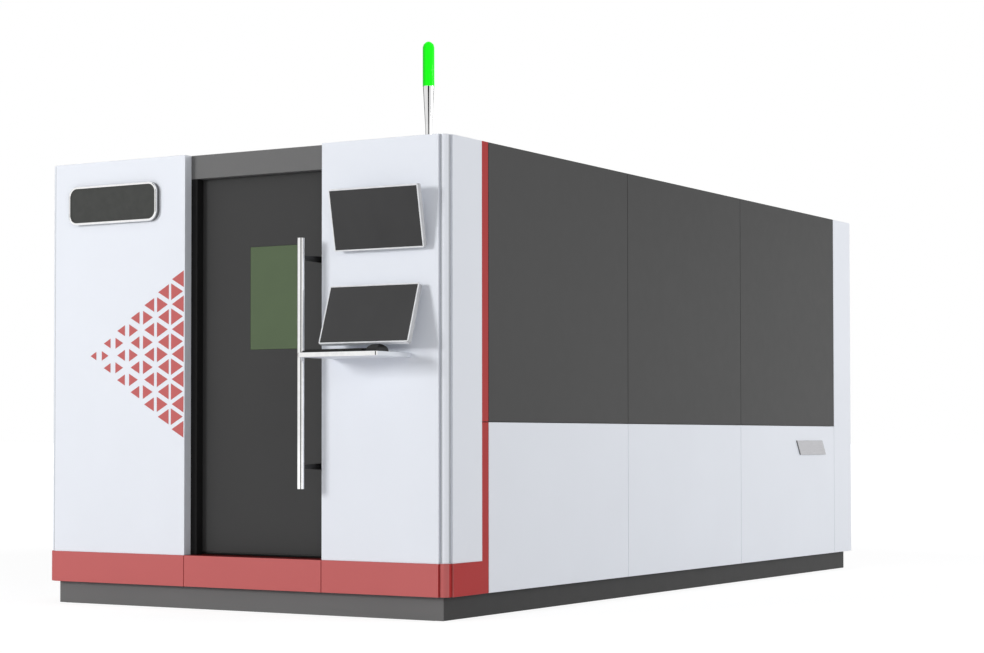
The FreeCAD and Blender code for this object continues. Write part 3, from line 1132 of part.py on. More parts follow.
def make_drives():
    """Mounting plate on the cabinet's back with two rows of servo drives."""
    x = CABINET_LEFT + CABINET_SHEET
    z = FLOOR_TOP + LASER_HEIGHT + TUBE
    pieces = [box(x, x + SKIN, CABINET_FRONT + CABINET_FRAME, CABINET_REAR - CABINET_FRAME,
                  z, CABINET_TOP - CABINET_FRAME)]
    for row in range(MODULE_ROWS):
        low = z + TUBE + row * (MODULE_HEIGHT + 2 * TUBE)
        for i in range(MODULE_COUNT):
            y = CABINET_FRONT + 2 * CABINET_FRAME + i * MODULE_PITCH
            pieces.append(box(x + SKIN, x + MODULE_DEPTH, y, y + MODULE_WIDTH, low, low + MODULE_HEIGHT))
    return pieces


def make_laser_source():
    """Fiber laser source: a rack unit with a bezel and two grab handles on the cabinet floor."""
    x0, x1 = CABINET_LEFT + TUBE, CABINET_MOUTH - TUBE
    y0, y1 = CABINET_FRONT + TUBE, CABINET_REAR - TUBE
    z0, z1 = FLOOR_TOP + CABINET_SHEET, FLOOR_TOP + CABINET_SHEET + LASER_HEIGHT
    rim, half = BEZEL_RIM, GRIP_BAR / 2
    pieces = [box(x0, x1, y0, y1, z0, z1), box(x1, x1 + BEZEL, y0 - rim, y1 + rim, z0 + rim, z1)]
    face, reach = x1 + BEZEL, GRIP_REACH
    for y in (y0 + TUBE / 2, y1 - TUBE / 2):
        grip = box(face, face + reach, y - half, y + half, z0 + TUBE, z1 - TUBE)
        hollow = box(face, face + reach - GRIP_BAR, y - half, y + half,
                     z0 + TUBE + GRIP_BAR, z1 - TUBE - GRIP_BAR)
        pieces.append(grip.cut(hollow))
    return pieces


# ---------------------------------------------------------------- operator station
def monitor_place(x, z, proud, tilt):
    """Placement that takes a shape modelled about the middle of the glass to its place."""
    return FreeCAD.Placement(Vector(x, FRONT_Y - proud, z), FreeCAD.Rotation(Vector(1, 0, 0), tilt))


def monitor_pivot(x, z, proud, tilt):
    return monitor_place(x, z, proud, tilt).multVec(Vector(0, MONITOR_DEPTH + PIVOT_BACK, 0))


def make_monitor(x, z, proud, tilt):
    """Monitor housing: shell with clipped corners, a recess for the glass and a bored hinge eye."""
    solid, corners = plate(MONITOR_WIDTH, MONITOR_HEIGHT, MONITOR_DEPTH)
    w, h = MONITOR_WIDTH / 2 - MONITOR_RIM, MONITOR_HEIGHT / 2 - MONITOR_RIM
    shell = solid.makeChamfer(MONITOR_CORNER, corners).cut(box(-w, w, 0, GLASS_THICKNESS, -h, h))
    pivot, half = MONITOR_DEPTH + PIVOT_BACK, BRACKET_GAP / 2 - EYE_SIDE_GAP
    eye = box(-half, half, MONITOR_DEPTH / 2, pivot + EYE_RADIUS, -EYE_RADIUS, EYE_RADIUS)
    bore = cylinder(PIN_RADIUS + PIN_FIT, (-half, pivot, 0), (1, 0, 0), 2 * half)
    monitor = fused([shell, eye]).cut(bore)
    monitor.Placement = monitor_place(x, z, proud, tilt)
    return monitor


def make_screen(x, z, proud, tilt):
    w, h = MONITOR_WIDTH / 2 - MONITOR_RIM, MONITOR_HEIGHT / 2 - MONITOR_RIM
    glass = box(-w, w, -GLASS_PROUD, GLASS_THICKNESS, -h, h)
    glass.Placement = monitor_place(x, z, proud, tilt)
    return glass


def wall_bracket(x, z, proud, tilt):
    """Bracket on the front panel: a wall plate, two cheeks and the pin the monitor tilts on."""
    pivot = monitor_pivot(x, z, proud, tilt)
    half, eye, back = BRACKET_PLATE / 2, EYE_RADIUS, FRONT_Y - BRACKET_THICKNESS
    pieces = [box(x - half, x + half, back, FRONT_Y, pivot.z - half, pivot.z + half)]
    for left in (x - BRACKET_GAP / 2 - BRACKET_ARM, x + BRACKET_GAP / 2):
        outline = [(left, back, pivot.z - eye), (left, pivot.y - eye / 2, pivot.z - eye),
                   (left, pivot.y - eye, pivot.z - eye / 2), (left, pivot.y - eye, pivot.z + eye / 2),
                   (left, pivot.y - eye / 2, pivot.z + eye), (left, back, pivot.z + eye)]
        pieces.append(prism(outline, (BRACKET_ARM, 0, 0)))
    pin = cylinder(PIN_RADIUS, (x - BRACKET_GAP / 2, pivot.y, pivot.z), (1, 0, 0), BRACKET_GAP)
    return fused(pieces + [pin])


def make_brackets():
    return [wall_bracket(*UPPER_MONITOR), wall_bracket(*LOWER_MONITOR)]


def make_shelf():
    """Shelf for the keyboard, with rounded front corners."""
    slab = box(SHELF_LEFT, SHELF_LEFT + SHELF_WIDTH, SHELF_FRONT, FRONT_Y,
               SHELF_TOP - SHELF_THICKNESS, SHELF_TOP)
    front = [e for e in slab.Edges if e.Vertexes[0].Y < SHELF_FRONT + SHELF_RADIUS
             and abs(e.Vertexes[0].Z - e.Vertexes[1].Z) > SHELF_THICKNESS / 2]
    return slab.makeFillet(SHELF_RADIUS, front)


def make_keyboard():
    """Compact keyboard: a wedge with its rows of keycaps standing on the sloping top."""
    x0, y0 = SHELF_LEFT + KEYBOARD_INSET, SHELF_FRONT + KEYBOARD_EDGE
    rise = KEYBOARD_BACK_HEIGHT - KEYBOARD_FRONT_HEIGHT
    case = prism([(x0, y0, SHELF_TOP), (x0, y0 + KEYBOARD_DEPTH, SHELF_TOP),
                  (x0, y0 + KEYBOARD_DEPTH, SHELF_TOP + KEYBOARD_BACK_HEIGHT),
                  (x0, y0, SHELF_TOP + KEYBOARD_FRONT_HEIGHT)], (KEYBOARD_WIDTH, 0, 0))
    row_pitch = (KEYBOARD_DEPTH - 2 * KEY_MARGIN) / KEY_ROWS
    key_pitch = (KEYBOARD_WIDTH - 2 * KEY_MARGIN) / KEY_COLUMNS
    side_keys = (KEY_COLUMNS - SPACE_BAR_KEYS) // 2
    keys = []
    for row in range(KEY_ROWS):
        y = y0 + KEY_MARGIN + row * row_pitch
        z = SHELF_TOP + KEYBOARD_FRONT_HEIGHT + rise * (y - y0) / KEYBOARD_DEPTH
        spans = [1] * side_keys + [SPACE_BAR_KEYS] + [1] * side_keys if row == 0 else [KEY_COLUMNS]
        x = x0 + KEY_MARGIN
        for span in spans:
            width = span * key_pitch
            keys.append(box(x + KEY_GAP, x + width - KEY_GAP, y + KEY_GAP, y + row_pitch - KEY_GAP,
                            z - rise, z + KEY_HEIGHT))
            x += width
    return fused([case] + keys)


def arched(chord, rise, along, origin):
    """Solid under an arc: the arc stands on a chord through the origin, and is drawn out both ways."""
    chord, along, origin = Vector(*chord), Vector(*along), Vector(*origin)
    start, end = origin - chord * 0.5 - along * 0.5, origin + chord * 0.5 - along * 0.5
    top = origin - along * 0.5 + Vector(*rise)
    outline = Part.Wire([Part.Arc(start, top, end).toShape(), Part.makeLine(end, start)])
    return Part.Face(outline).extrude(along)


def make_mouse():
    """Mouse: arched from front to back and from side to side, round in plan, slotted for its wheel."""
    centre = (MOUSE_X, MOUSE_Y, SHELF_TOP)
    body = arched((0, MOUSE_LENGTH, 0), (0, 0, MOUSE_HEIGHT), (MOUSE_WIDTH, 0, 0), centre)
    body = body.common(arched((MOUSE_WIDTH, 0, 0), (0, 0, MOUSE_CROWN), (0, MOUSE_LENGTH, 0), centre))
    x, y, z = mouse_wheel_place()
    half, reach = MOUSE_WHEEL_WIDTH / 2 + MOUSE_WHEEL_GAP, MOUSE_WHEEL_RADIUS + MOUSE_WHEEL_GAP
    return body.cut(box(x - half, x + half, y - reach, y + reach, z - reach, z + 2 * reach))


def mouse_wheel_place():
    radius = (MOUSE_LENGTH ** 2 / 4 + MOUSE_HEIGHT ** 2) / (2 * MOUSE_HEIGHT)
    shell = MOUSE_HEIGHT - radius + math.sqrt(radius ** 2 - MOUSE_WHEEL_FORWARD ** 2)
    return MOUSE_X, MOUSE_Y + MOUSE_WHEEL_FORWARD, SHELF_TOP + shell + MOUSE_WHEEL_PROUD - MOUSE_WHEEL_RADIUS


def make_mouse_wheel():
    x, y, z = mouse_wheel_place()
    return cylinder(MOUSE_WHEEL_RADIUS, (x - MOUSE_WHEEL_WIDTH / 2, y, z), (1, 0, 0), MOUSE_WHEEL_WIDTH)


# ---------------------------------------------------------------- trim and beacon
def badge_blank(margin, depth, recess):
    """Round-cornered blank on the badge's place, smaller by the margin and set back by the recess."""
    blank, corners = plate(BADGE_WIDTH - 2 * margin, BADGE_HEIGHT - 2 * margin, depth)
    place = Vector(-SIDE_X + BADGE_FROM_SIDE, FRONT_Y - BADGE_DEPTH + recess, BODY_HEIGHT - BADGE_FROM_TOP)
    return blank.makeFillet(BADGE_RADIUS - margin, corners).translated(place)


def make_badge_frames():
    """Bright trim: the rounded frame on the front and the slanted plate low on the right side."""
    outer = badge_blank(0, BADGE_DEPTH, 0)
    front = FRONT_Y - BADGE_DEPTH
    rim = outer.makeChamfer(BADGE_CHAMFER, [e for e in outer.Edges if e.BoundBox.YMax < front + SKIN / 2])
    return [rim.cut(badge_blank(BADGE_RIM, BADGE_DEPTH, 0)), make_side_badge()]


def make_badge_plate():
    return badge_blank(BADGE_RIM, BADGE_DEPTH - BADGE_FACE_RECESS, BADGE_FACE_RECESS)


def make_side_badge():
    """Slanted bright plate low on the right side."""
    x, y, z = SIDE_X, REAR_Y - SIDE_BADGE_FROM_REAR, SIDE_BADGE_BOTTOM
    slant, length, top = SIDE_BADGE_SLANT, SIDE_BADGE_LENGTH, z + SIDE_BADGE_HEIGHT
    outline = [(x, y + slant, z), (x, y + slant + length, z), (x, y + length, top), (x, y, top)]
    return prism(outline, (SIDE_BADGE_THICKNESS, 0, 0))


def triangle(base_x, z, cell, direction):
    height = TRIANGLE_SMALLEST + TRIANGLE_GROWTH * cell
    reach = height * TRIANGLE_SLIMNESS
    offset = (TRIANGLE_PITCH_X - reach) * TRIANGLE_SHARE
    x = base_x + direction * offset
    outline = [(x, FRONT_Y, z - height / 2), (x, FRONT_Y, z + height / 2),
               (x + direction * reach, FRONT_Y, z)]
    return prism(outline, (0, -TRIANGLE_THICKNESS, 0))


def make_triangles():
    """A fan of triangles that grow towards the door: columns of back-to-back pairs."""
    pieces = []
    for column in range(1, TRIANGLE_COLUMNS + 1):
        x = OPENING_LEFT - (TRIANGLE_COLUMNS - column) * TRIANGLE_PITCH_X
        for row in range(column):
            z = TRIANGLE_CENTRE_Z + (row - (column - 1) / 2) * TRIANGLE_PITCH_Z
            pieces.append(triangle(x, z, column - 1, -1))
            if column < TRIANGLE_COLUMNS:
                pieces.append(triangle(x, z, column, 1))
    return pieces


def beacon_centre(z):
    return SIDE_X - BEACON_FROM_SIDE, FRONT_Y + BEACON_SETBACK, z


def make_beacon_post():
    """Turned chrome post, flaring up to the lamp, on a round foot flange."""
    flange, height = BEACON_FLANGE_THICKNESS, BEACON_POST_HEIGHT
    profile = [(BEACON_FLANGE, 0), (BEACON_FLANGE, flange), (BEACON_POST_FOOT, flange),
               (BEACON_POST_FOOT, height / 2), (BEACON_POST_HEAD, height - flange),
               (BEACON_POST_HEAD, height)]
    return turned(profile, beacon_centre(ROOF_TOP))


def make_beacon_lamp():
    """Lamp: a straight barrel closed by a dome."""
    radius, barrel = BEACON_LAMP_RADIUS, BEACON_LAMP_HEIGHT - BEACON_LAMP_RADIUS
    turns = [math.pi / 2 * i / DOME_STEPS for i in range(DOME_STEPS)]
    dome = [(radius * math.cos(turn), barrel + radius * math.sin(turn)) for turn in turns]
    profile = [(radius, 0)] + dome + [(BEACON_LAMP_CROWN, BEACON_LAMP_HEIGHT)]
    return turned(profile, beacon_centre(ROOF_TOP + BEACON_POST_HEIGHT))


def all_parts():
    rollers = roller_places()
    wheels = wheelset_places()
    pinion = make_gantry_pinion()
    return {
        "base_frame": make_base(),
        "enclosure_frame": make_frame(),
        "front_panels": make_front_panels(),
        "header_panel": make_header(),
        "front_corner_strips": make_corner_strips(),
        "red_bands": make_red_bands(),
        "corner_skins": make_corner_skins(),
        "upper_panels": make_upper_panels(),
        "lower_panels": make_lower_panels(),
        "roof_panels": make_roof_panels(),
        "jamb_seals": make_jamb_seals(),
        "door_leaf": make_door_leaf(),
        "door_window": make_door_window(),
        "handle_bar": make_handle_bar(),
        "handle_posts": make_handle_posts(),
        "door_track": make_door_track(),
        "door_hangers": make_door_hangers(),
        "door_roller_left": make_roller(rollers[0]),
        "door_roller_right": make_roller(rollers[1]),
        "rear_gate": make_rear_gate(),
        "gate_guides": make_gate_guides() + make_gate_cylinders(),
        "bed": make_bed(),
        "levelling_feet": make_levelling_feet(),
        "gantry_guides": make_gantry_rails() + make_gantry_racks(),
        "slat_table": make_pallet(),
        "slats": make_slats(),
        "wheelset_front": make_wheelset(wheels[0]),
        "wheelset_middle": make_wheelset(wheels[1]),
        "wheelset_rear": make_wheelset(wheels[2]),
        "gantry_beam": make_gantry_beam(),
        "cross_rails": make_cross_rails(),
        "gantry_trucks": make_trucks(),
        "gantry_motors": make_gantry_motors(),
        "pinion_right": pinion,
        "pinion_left": mirrored(pinion),
        "carriage": make_carriage(),
        "carriage_motors": make_carriage_motors(),
        "carriage_pinion": make_carriage_pinion(),
        "ball_screw": make_ball_screw(),
        "head_slide": make_head_slide(),
        "cutting_head": make_cutting_head(),
        "nozzle": make_nozzle(),
        "cabinet": make_cabinet(),
        "cabinet_door": make_cabinet_door(),
        "servo_drives": make_drives(),
        "laser_source": make_laser_source(),
        "upper_monitor": make_monitor(*UPPER_MONITOR),
        "upper_screen": make_screen(*UPPER_MONITOR),
        "lower_monitor": make_monitor(*LOWER_MONITOR),
        "lower_screen": make_screen(*LOWER_MONITOR),
        "monitor_brackets": make_brackets(),
        "keyboard_shelf": make_shelf(),
        "keyboard": make_keyboard(),
        "mouse": make_mouse(),
        "mouse_wheel": make_mouse_wheel(),
        "badge_frames": make_badge_frames(),
        "badge_plate": make_badge_plate(),
        "panel_triangles": make_triangles(),
        "beacon_post": make_beacon_post(),
        "beacon_lamp": make_beacon_lamp(),
    }


os.makedirs("parts", exist_ok=True)
for name, shape in all_parts().items():
    if isinstance(shape, list):
        shape = Part.makeCompound(shape)
    shape.exportStep("parts/" + name + ".step")
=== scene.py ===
"""Looks of the enclosed fiber laser cutting machine: surfaces, small detail, light and camera.

Lengths are in metres, and colours are linear.
"""
import json
import math

import bmesh
import bpy
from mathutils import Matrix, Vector


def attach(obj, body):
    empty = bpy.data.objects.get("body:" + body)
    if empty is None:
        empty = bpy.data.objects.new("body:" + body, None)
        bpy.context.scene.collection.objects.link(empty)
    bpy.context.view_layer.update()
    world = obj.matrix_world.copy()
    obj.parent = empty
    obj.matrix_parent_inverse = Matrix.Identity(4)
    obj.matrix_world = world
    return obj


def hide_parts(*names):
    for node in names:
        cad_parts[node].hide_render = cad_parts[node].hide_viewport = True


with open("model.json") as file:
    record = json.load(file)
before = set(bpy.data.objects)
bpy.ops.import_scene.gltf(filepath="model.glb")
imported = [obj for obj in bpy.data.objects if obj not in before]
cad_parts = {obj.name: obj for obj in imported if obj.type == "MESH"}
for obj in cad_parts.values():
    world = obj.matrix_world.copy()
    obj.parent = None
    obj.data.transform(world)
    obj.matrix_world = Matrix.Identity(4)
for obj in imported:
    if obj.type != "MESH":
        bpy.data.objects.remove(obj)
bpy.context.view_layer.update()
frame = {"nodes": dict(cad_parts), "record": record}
SCENE = bpy.context.scene

# ---------------------------------------------------------------- camera
CAMERA_PLACE = (6.334, -11.143, 0.823)
CAMERA_TURN = (91.635, 0.0, 32.1155)        # degrees
CAMERA_LENS = 81.9                          # millimetres, as is the sensor
CAMERA_SENSOR = 36.0
CAMERA_SHIFT = (0.0937, 0.0489)
CAMERA_REACH = 500.0

# ---------------------------------------------------------------- colours
WHITE_COAT = (0.83, 0.86, 0.92)
# painted highlight: a lighter copy of the white coat for the corner strips' slanted face, which
# gets less light
FACET_PAINTED_LIGHT_COAT = (0.90, 0.93, 0.99)
DARK_COAT = (0.044, 0.044, 0.044)
HEADER_COAT = (0.155, 0.155, 0.155)
DOOR_COAT = (0.044, 0.044, 0.044)
RED_COAT = (0.43, 0.019, 0.019)
# painted shade: a dark copy of the red coat for the sill strip, in the shade of the doorway
RED_PAINTED_SHADE_COAT = (0.10, 0.008, 0.008)
# painted sheen: a lighter, paler copy of the red coat for front-facing red faces, also used for
# the printed triangles
RED_FRONT_PAINTED_SHEEN_COAT = (0.545, 0.128, 0.125)
# painted shade: grey for the corner strips' step faces, in the shade of their recessed lines
GROOVE_PAINTED_SHADE_COAT = (0.46, 0.48, 0.51)
PLINTH_COAT = (0.028, 0.028, 0.028)
# painted light: a lighter copy of the plinth coat for the base's front-facing faces
PLINTH_FRONT_PAINTED_LIGHT_COAT = (0.158, 0.158, 0.158)
FRAME_COAT = (0.17, 0.18, 0.19)
BED_COAT = (0.30, 0.31, 0.33)
CABINET_COAT = (0.62, 0.64, 0.64)
HEAD_COAT = (0.70, 0.70, 0.71)
SEAL_BLACK = (0.010, 0.010, 0.010)
METAL_BLACK = (0.014, 0.014, 0.014)
MOTOR_BLACK = (0.02, 0.02, 0.021)
PLASTIC_BLACK = (0.008, 0.008, 0.008)
DRIVE_GREY = (0.07, 0.075, 0.08)
MONITOR_WHITE = (0.80, 0.81, 0.83)
# painted shade: a grey copy of the monitors' white for their right-facing sides, away from the key
# light
MONITOR_SIDE_PAINTED_SHADE = (0.50, 0.51, 0.53)
BADGE_DARK = (0.054, 0.056, 0.053)
STEEL = (0.58, 0.59, 0.61)
ALUMINIUM = (0.72, 0.73, 0.75)
BRASS = (0.72, 0.50, 0.20)
SILVER = (0.52, 0.52, 0.54)
SLAT_SCALE = ((0.16, 0.155, 0.15), (0.36, 0.34, 0.32))
SLAT_RUST = (0.26, 0.15, 0.09)
SCREEN_DARK = ((0.017, 0.017, 0.018), (0.022, 0.022, 0.023))
WINDOW_GREEN = (0.068, 0.108, 0.045)
LAMP_GREEN = (0.008, 0.95, 0.008)
LAMP_PAINTED_SHADE = 0.35                             # share of the lamp's green on its side of painted shade
LAMP_SHADE_ACROSS = (0.85, 0.53, 0.0)             # level direction across the lamp, from its side of painted shade to its full green
LAMP_SPAN = (-0.4467, -0.3927)              # where the lamp begins and ends along it

# ---------------------------------------------------------------- node materials
NOISE_LOW = 0.3                             # noise seldom goes below or above these two
NOISE_HIGH = 0.7
LINE_STRETCH = 0.02                         # how much noise is drawn out into brushed lines
GLASS_IOR = 1.5


def set_sockets(node, **values):
    """Give a node's sockets their values; an underscore stands for a space in a socket's name."""
    for socket, value in values.items():
        node.inputs[socket.replace("_", " ")].default_value = value


def shade(colour, factor):
    return tuple(min(1.0, channel * factor) for channel in colour)


class Surface:
    """A material with a Principled shader, and short calls that add its texture nodes."""

    def __init__(self, name, roughness, metallic=0.0, **sockets):
        self.material = bpy.data.materials.new(name)
        self.material.use_nodes = True
        self.tree = self.material.node_tree
        self.shader = self.tree.nodes["Principled BSDF"]
        set_sockets(self.shader, Roughness=roughness, Metallic=metallic, **sockets)
        self.place = self.node("ShaderNodeTexCoord").outputs["Object"]

    def node(self, kind, **values):
        """A new node; each value goes to the socket or the setting of that name."""
        made = self.tree.nodes.new(kind)
        for key, value in values.items():
            if key in made.inputs:
                made.inputs[key].default_value = value
            else:
                setattr(made, key, value)
        return made

    def link(self, output, target):
        self.tree.links.new(output, target)

    def noise(self, scale, detail, stretch=(1, 1, 1)):
        """Noise between 0 and 1; a stretch of less than 1 draws it out along that axis."""
        mapping = self.node("ShaderNodeMapping")
        mapping.inputs["Scale"].default_value = stretch
        self.link(self.place, mapping.inputs["Vector"])
        texture = self.node("ShaderNodeTexNoise", Scale=scale, Detail=detail)
        self.link(mapping.outputs["Vector"], texture.inputs["Vector"])
        return texture.outputs["Fac"]

    def ramp(self, source, first, last, low=NOISE_LOW, high=NOISE_HIGH):
        """Two colours, or two greys, that cross over as the source goes from low to high."""
        ramp = self.node("ShaderNodeValToRGB")
        for element, at, tone in zip(ramp.color_ramp.elements, (low, high), (first, last)):
            element.position = at
            element.color = (*tone, 1.0) if hasattr(tone, "__len__") else (tone, tone, tone, 1.0)
        self.link(source, ramp.inputs["Fac"])
        return ramp.outputs["Color"]

    def colour(self, output):
        self.link(output, self.shader.inputs["Base Color"])

    def tint(self, source, colour, darkest, lightest):
        """The base colour, between a darker and a lighter shade of one colour."""
        self.colour(self.ramp(source, shade(colour, darkest), shade(colour, lightest)))

    def roughness(self, source, least, most):
        self.link(self.ramp(source, least, most), self.shader.inputs["Roughness"])

    def bump(self, source, distance, strength):
        bump = self.node("ShaderNodeBump", Strength=strength, Distance=distance)
        self.link(source, bump.inputs["Height"])
        self.link(bump.outputs["Normal"], self.shader.inputs["Normal"])


def powder_coat(name, colour, roughness=0.45, cloud=0.03, peel=0.00005, sheen=0.5):
    """Baked powder coat: faint clouds in its tone, and the fine orange peel of the cured film."""
    surface = Surface(name, roughness, Specular_IOR_Level=sheen)
    surface.tint(surface.noise(scale=1.7, detail=4.0), colour,
                 darkest=1 - cloud, lightest=1 + cloud)
    surface.roughness(surface.noise(scale=14.0, detail=4.0),
                      least=roughness - 0.012, most=roughness + 0.015)
    surface.bump(surface.noise(scale=420.0, detail=2.0), distance=peel, strength=0.5)
    return surface.material


def brushed(name, colour, roughness, along, metallic=1.0):
    """Machined or brushed metal: fine lines drawn out along one axis."""
    surface = Surface(name, roughness, metallic)
    stretch = [1.0, 1.0, 1.0]
    stretch["XYZ".index(along)] = LINE_STRETCH
    lines = surface.noise(scale=900.0, detail=3.0, stretch=stretch)
    surface.tint(lines, colour, darkest=0.86, lightest=1.06)
    wear = surface.noise(scale=300.0, detail=3.0, stretch=stretch)
    surface.roughness(wear, least=roughness - 0.06, most=roughness + 0.08)
    surface.bump(lines, distance=0.00004, strength=0.4)
    return surface.material


def moulded(name, colour, roughness, grain=900.0, depth=0.00006, sheen=0.5):
    """Moulded plastic or rubber with a fine spark-eroded grain."""
    surface = Surface(name, roughness, Specular_IOR_Level=sheen)
    surface.tint(surface.noise(scale=30.0, detail=3.0), colour, darkest=0.92, lightest=1.08)
    surface.roughness(surface.noise(scale=120.0, detail=3.0),
                      least=roughness - 0.05, most=roughness + 0.05)
    surface.bump(surface.noise(scale=grain, detail=2.0), distance=depth, strength=0.6)
    return surface.material


def chrome_plate(name, brightness):
    """Chrome with the faintest haze of polishing."""
    surface = Surface(name, roughness=0.05, metallic=1.0)
    surface.tint(surface.noise(scale=40.0, detail=3.0), (brightness,) * 3,
                 darkest=0.97, lightest=1.04)
    surface.roughness(surface.noise(scale=160.0, detail=4.0), least=0.03, most=0.09)
    return surface.material


def slat_steel(name):
    """Hot rolled slats: blue grey scale, brown heat marks and splashed slag."""
    surface = Surface(name, roughness=0.55, metallic=0.85)
    scale = surface.ramp(surface.noise(scale=24.0, detail=6.0), *SLAT_SCALE, low=0.35, high=0.65)
    rust = surface.ramp(surface.noise(scale=60.0, detail=5.0), 0.0, 1.0, low=0.55, high=0.7)
    mix = surface.node("ShaderNodeMix", data_type="RGBA")
    share, plain, rusted = mix.inputs[0], mix.inputs[6], mix.inputs[7]      # its colour sockets
    surface.link(rust, share)
    surface.link(scale, plain)
    rusted.default_value = (*SLAT_RUST, 1.0)
    surface.colour(mix.outputs[2])
    surface.roughness(surface.noise(scale=80.0, detail=4.0), least=0.4, most=0.75)
    surface.bump(surface.noise(scale=260.0, detail=4.0), distance=0.0004, strength=0.6)
    return surface.material


def window_glass(name):
    """Green laser-safe pane: opaque to the eye, smooth, with a faint waviness."""
    surface = Surface(name, roughness=0.12, IOR=GLASS_IOR)
    surface.tint(surface.noise(scale=3.0, detail=2.0), WINDOW_GREEN,
                 darkest=0.95, lightest=1.05)
    surface.roughness(surface.noise(scale=20.0, detail=2.0), least=0.10, most=0.16)
    surface.bump(surface.noise(scale=8.0, detail=1.0), distance=0.0001, strength=0.3)
    return surface.material


def screen_glass(name, sheen):
    """Dark screen behind glass: black with a soft sheen and a trace of fingerprints."""
    surface = Surface(name, roughness=0.18, IOR=GLASS_IOR, Specular_IOR_Level=sheen)
    surface.colour(surface.ramp(surface.noise(scale=5.0, detail=2.0), *SCREEN_DARK))
    surface.roughness(surface.noise(scale=26.0, detail=5.0), least=0.14, most=0.24)
    return surface.material


def lamp_cover(name):
    """Lit green lamp cover, with painted shade: its colour and glow fall off towards one side,
    along a fixed level direction.
    """
    surface = Surface(name, roughness=0.25, Emission_Strength=0.72, Specular_IOR_Level=0.10)
    across = surface.node("ShaderNodeVectorMath", operation="DOT_PRODUCT")
    surface.link(surface.place, across.inputs[0])
    across.inputs[1].default_value = LAMP_SHADE_ACROSS
    share = surface.node("ShaderNodeMapRange")
    set_sockets(share, From_Min=LAMP_SPAN[0], From_Max=LAMP_SPAN[1])
    surface.link(across.outputs["Value"], share.inputs["Value"])
    # painted shade: the lamp's green on one side, a share of the full
    painted_shade_green = shade(LAMP_GREEN, LAMP_PAINTED_SHADE)
    glow = surface.ramp(share.outputs["Result"], painted_shade_green, LAMP_GREEN, low=0.05, high=0.55)
    surface.colour(glow)
    surface.link(glow, surface.shader.inputs["Emission Color"])
    surface.roughness(surface.noise(scale=90.0, detail=2.0), least=0.10, most=0.22)
    return surface.material


MATERIALS = {
    "white": powder_coat("white_coat", WHITE_COAT, 0.42, cloud=0.012, sheen=0.3),
    "facet_painted_light": powder_coat("facet_painted_light_coat", FACET_PAINTED_LIGHT_COAT, 0.42, cloud=0.012, sheen=0.3),
    "dark": powder_coat("dark_coat", DARK_COAT, cloud=0.015, peel=0.00002, sheen=0.2),
    "header": powder_coat("header_coat", HEADER_COAT, cloud=0.02, peel=0.00003, sheen=0.2),
    "door": powder_coat("door_coat", DOOR_COAT, 0.50, cloud=0.02, peel=0.00003, sheen=0.25),
    "red": powder_coat("red_coat", RED_COAT, 0.40, cloud=0.02, peel=0.00003, sheen=0.2),
    "red_painted_shade": powder_coat("red_painted_shade_coat", RED_PAINTED_SHADE_COAT, 0.5,
                             cloud=0.02, peel=0.00003, sheen=0.1),
    "red_front_painted_sheen": powder_coat("red_front_painted_sheen_coat", RED_FRONT_PAINTED_SHEEN_COAT, 0.38,
                             cloud=0.02, peel=0.00003, sheen=0.3),
    "groove_painted_shade": powder_coat("groove_painted_shade_coat", GROOVE_PAINTED_SHADE_COAT, 0.6, cloud=0.02, peel=0.00003, sheen=0.2),
    "plinth": powder_coat("plinth_coat", PLINTH_COAT, 0.5, sheen=0.2),
    "plinth_front_painted_light": powder_coat("plinth_front_painted_light_coat", PLINTH_FRONT_PAINTED_LIGHT_COAT, 0.5, sheen=0.2),
    "frame": powder_coat("frame_coat", FRAME_COAT, 0.5),
    "bed": powder_coat("bed_coat", BED_COAT, cloud=0.06, peel=0.0001),
    "cabinet": powder_coat("cabinet_coat", CABINET_COAT),
    "head": powder_coat("head_coat", HEAD_COAT, 0.35),
    "rubber": moulded("seal_rubber", SEAL_BLACK, 0.65, sheen=0.15),
    "black": moulded("black_metal", METAL_BLACK, 0.35, grain=600.0, depth=0.00003),
    "motor": moulded("motor_black", MOTOR_BLACK, 0.4, grain=500.0),
    "plastic": moulded("black_plastic", PLASTIC_BLACK, 0.32, sheen=0.25),
    "drive": moulded("drive_plastic", DRIVE_GREY, 0.5),
    "monitor": moulded("monitor_white", MONITOR_WHITE, 0.35),
    "monitor_side_painted_shade": moulded("monitor_side_painted_shade_grey", MONITOR_SIDE_PAINTED_SHADE, 0.4),
    "badge": moulded("badge_dark", BADGE_DARK, 0.45, grain=700.0, depth=0.00002, sheen=0.2),
    "steel": brushed("steel", STEEL, 0.34, "Y"),
    "steel_x": brushed("steel_across", STEEL, 0.34, "X"),
    "steel_z": brushed("steel_upright", STEEL, 0.34, "Z"),
    "aluminium": brushed("aluminium", ALUMINIUM, 0.4, "X", metallic=0.9),
    "brass": brushed("brass", BRASS, 0.25, "Z"),
    "silver": brushed("silver_plate", SILVER, 0.42, "Y", metallic=0.5),
    "chrome": chrome_plate("chrome", 0.86),
    "post_chrome": chrome_plate("post_chrome", 0.76),
    # painted reflection: a dim copy of the chrome that draws dark reflections on the badge's edges
    "chrome_painted_dark_reflection": chrome_plate("chrome_painted_dark_reflection", 0.20),
    "slat": slat_steel("slat_steel"),
    "window": window_glass("green_glass"),
    "screen": screen_glass("screen_glass", sheen=0.52),
    "upper_screen": screen_glass("upper_screen_glass", sheen=0.42),
    "lamp": lamp_cover("lamp_cover"),
}

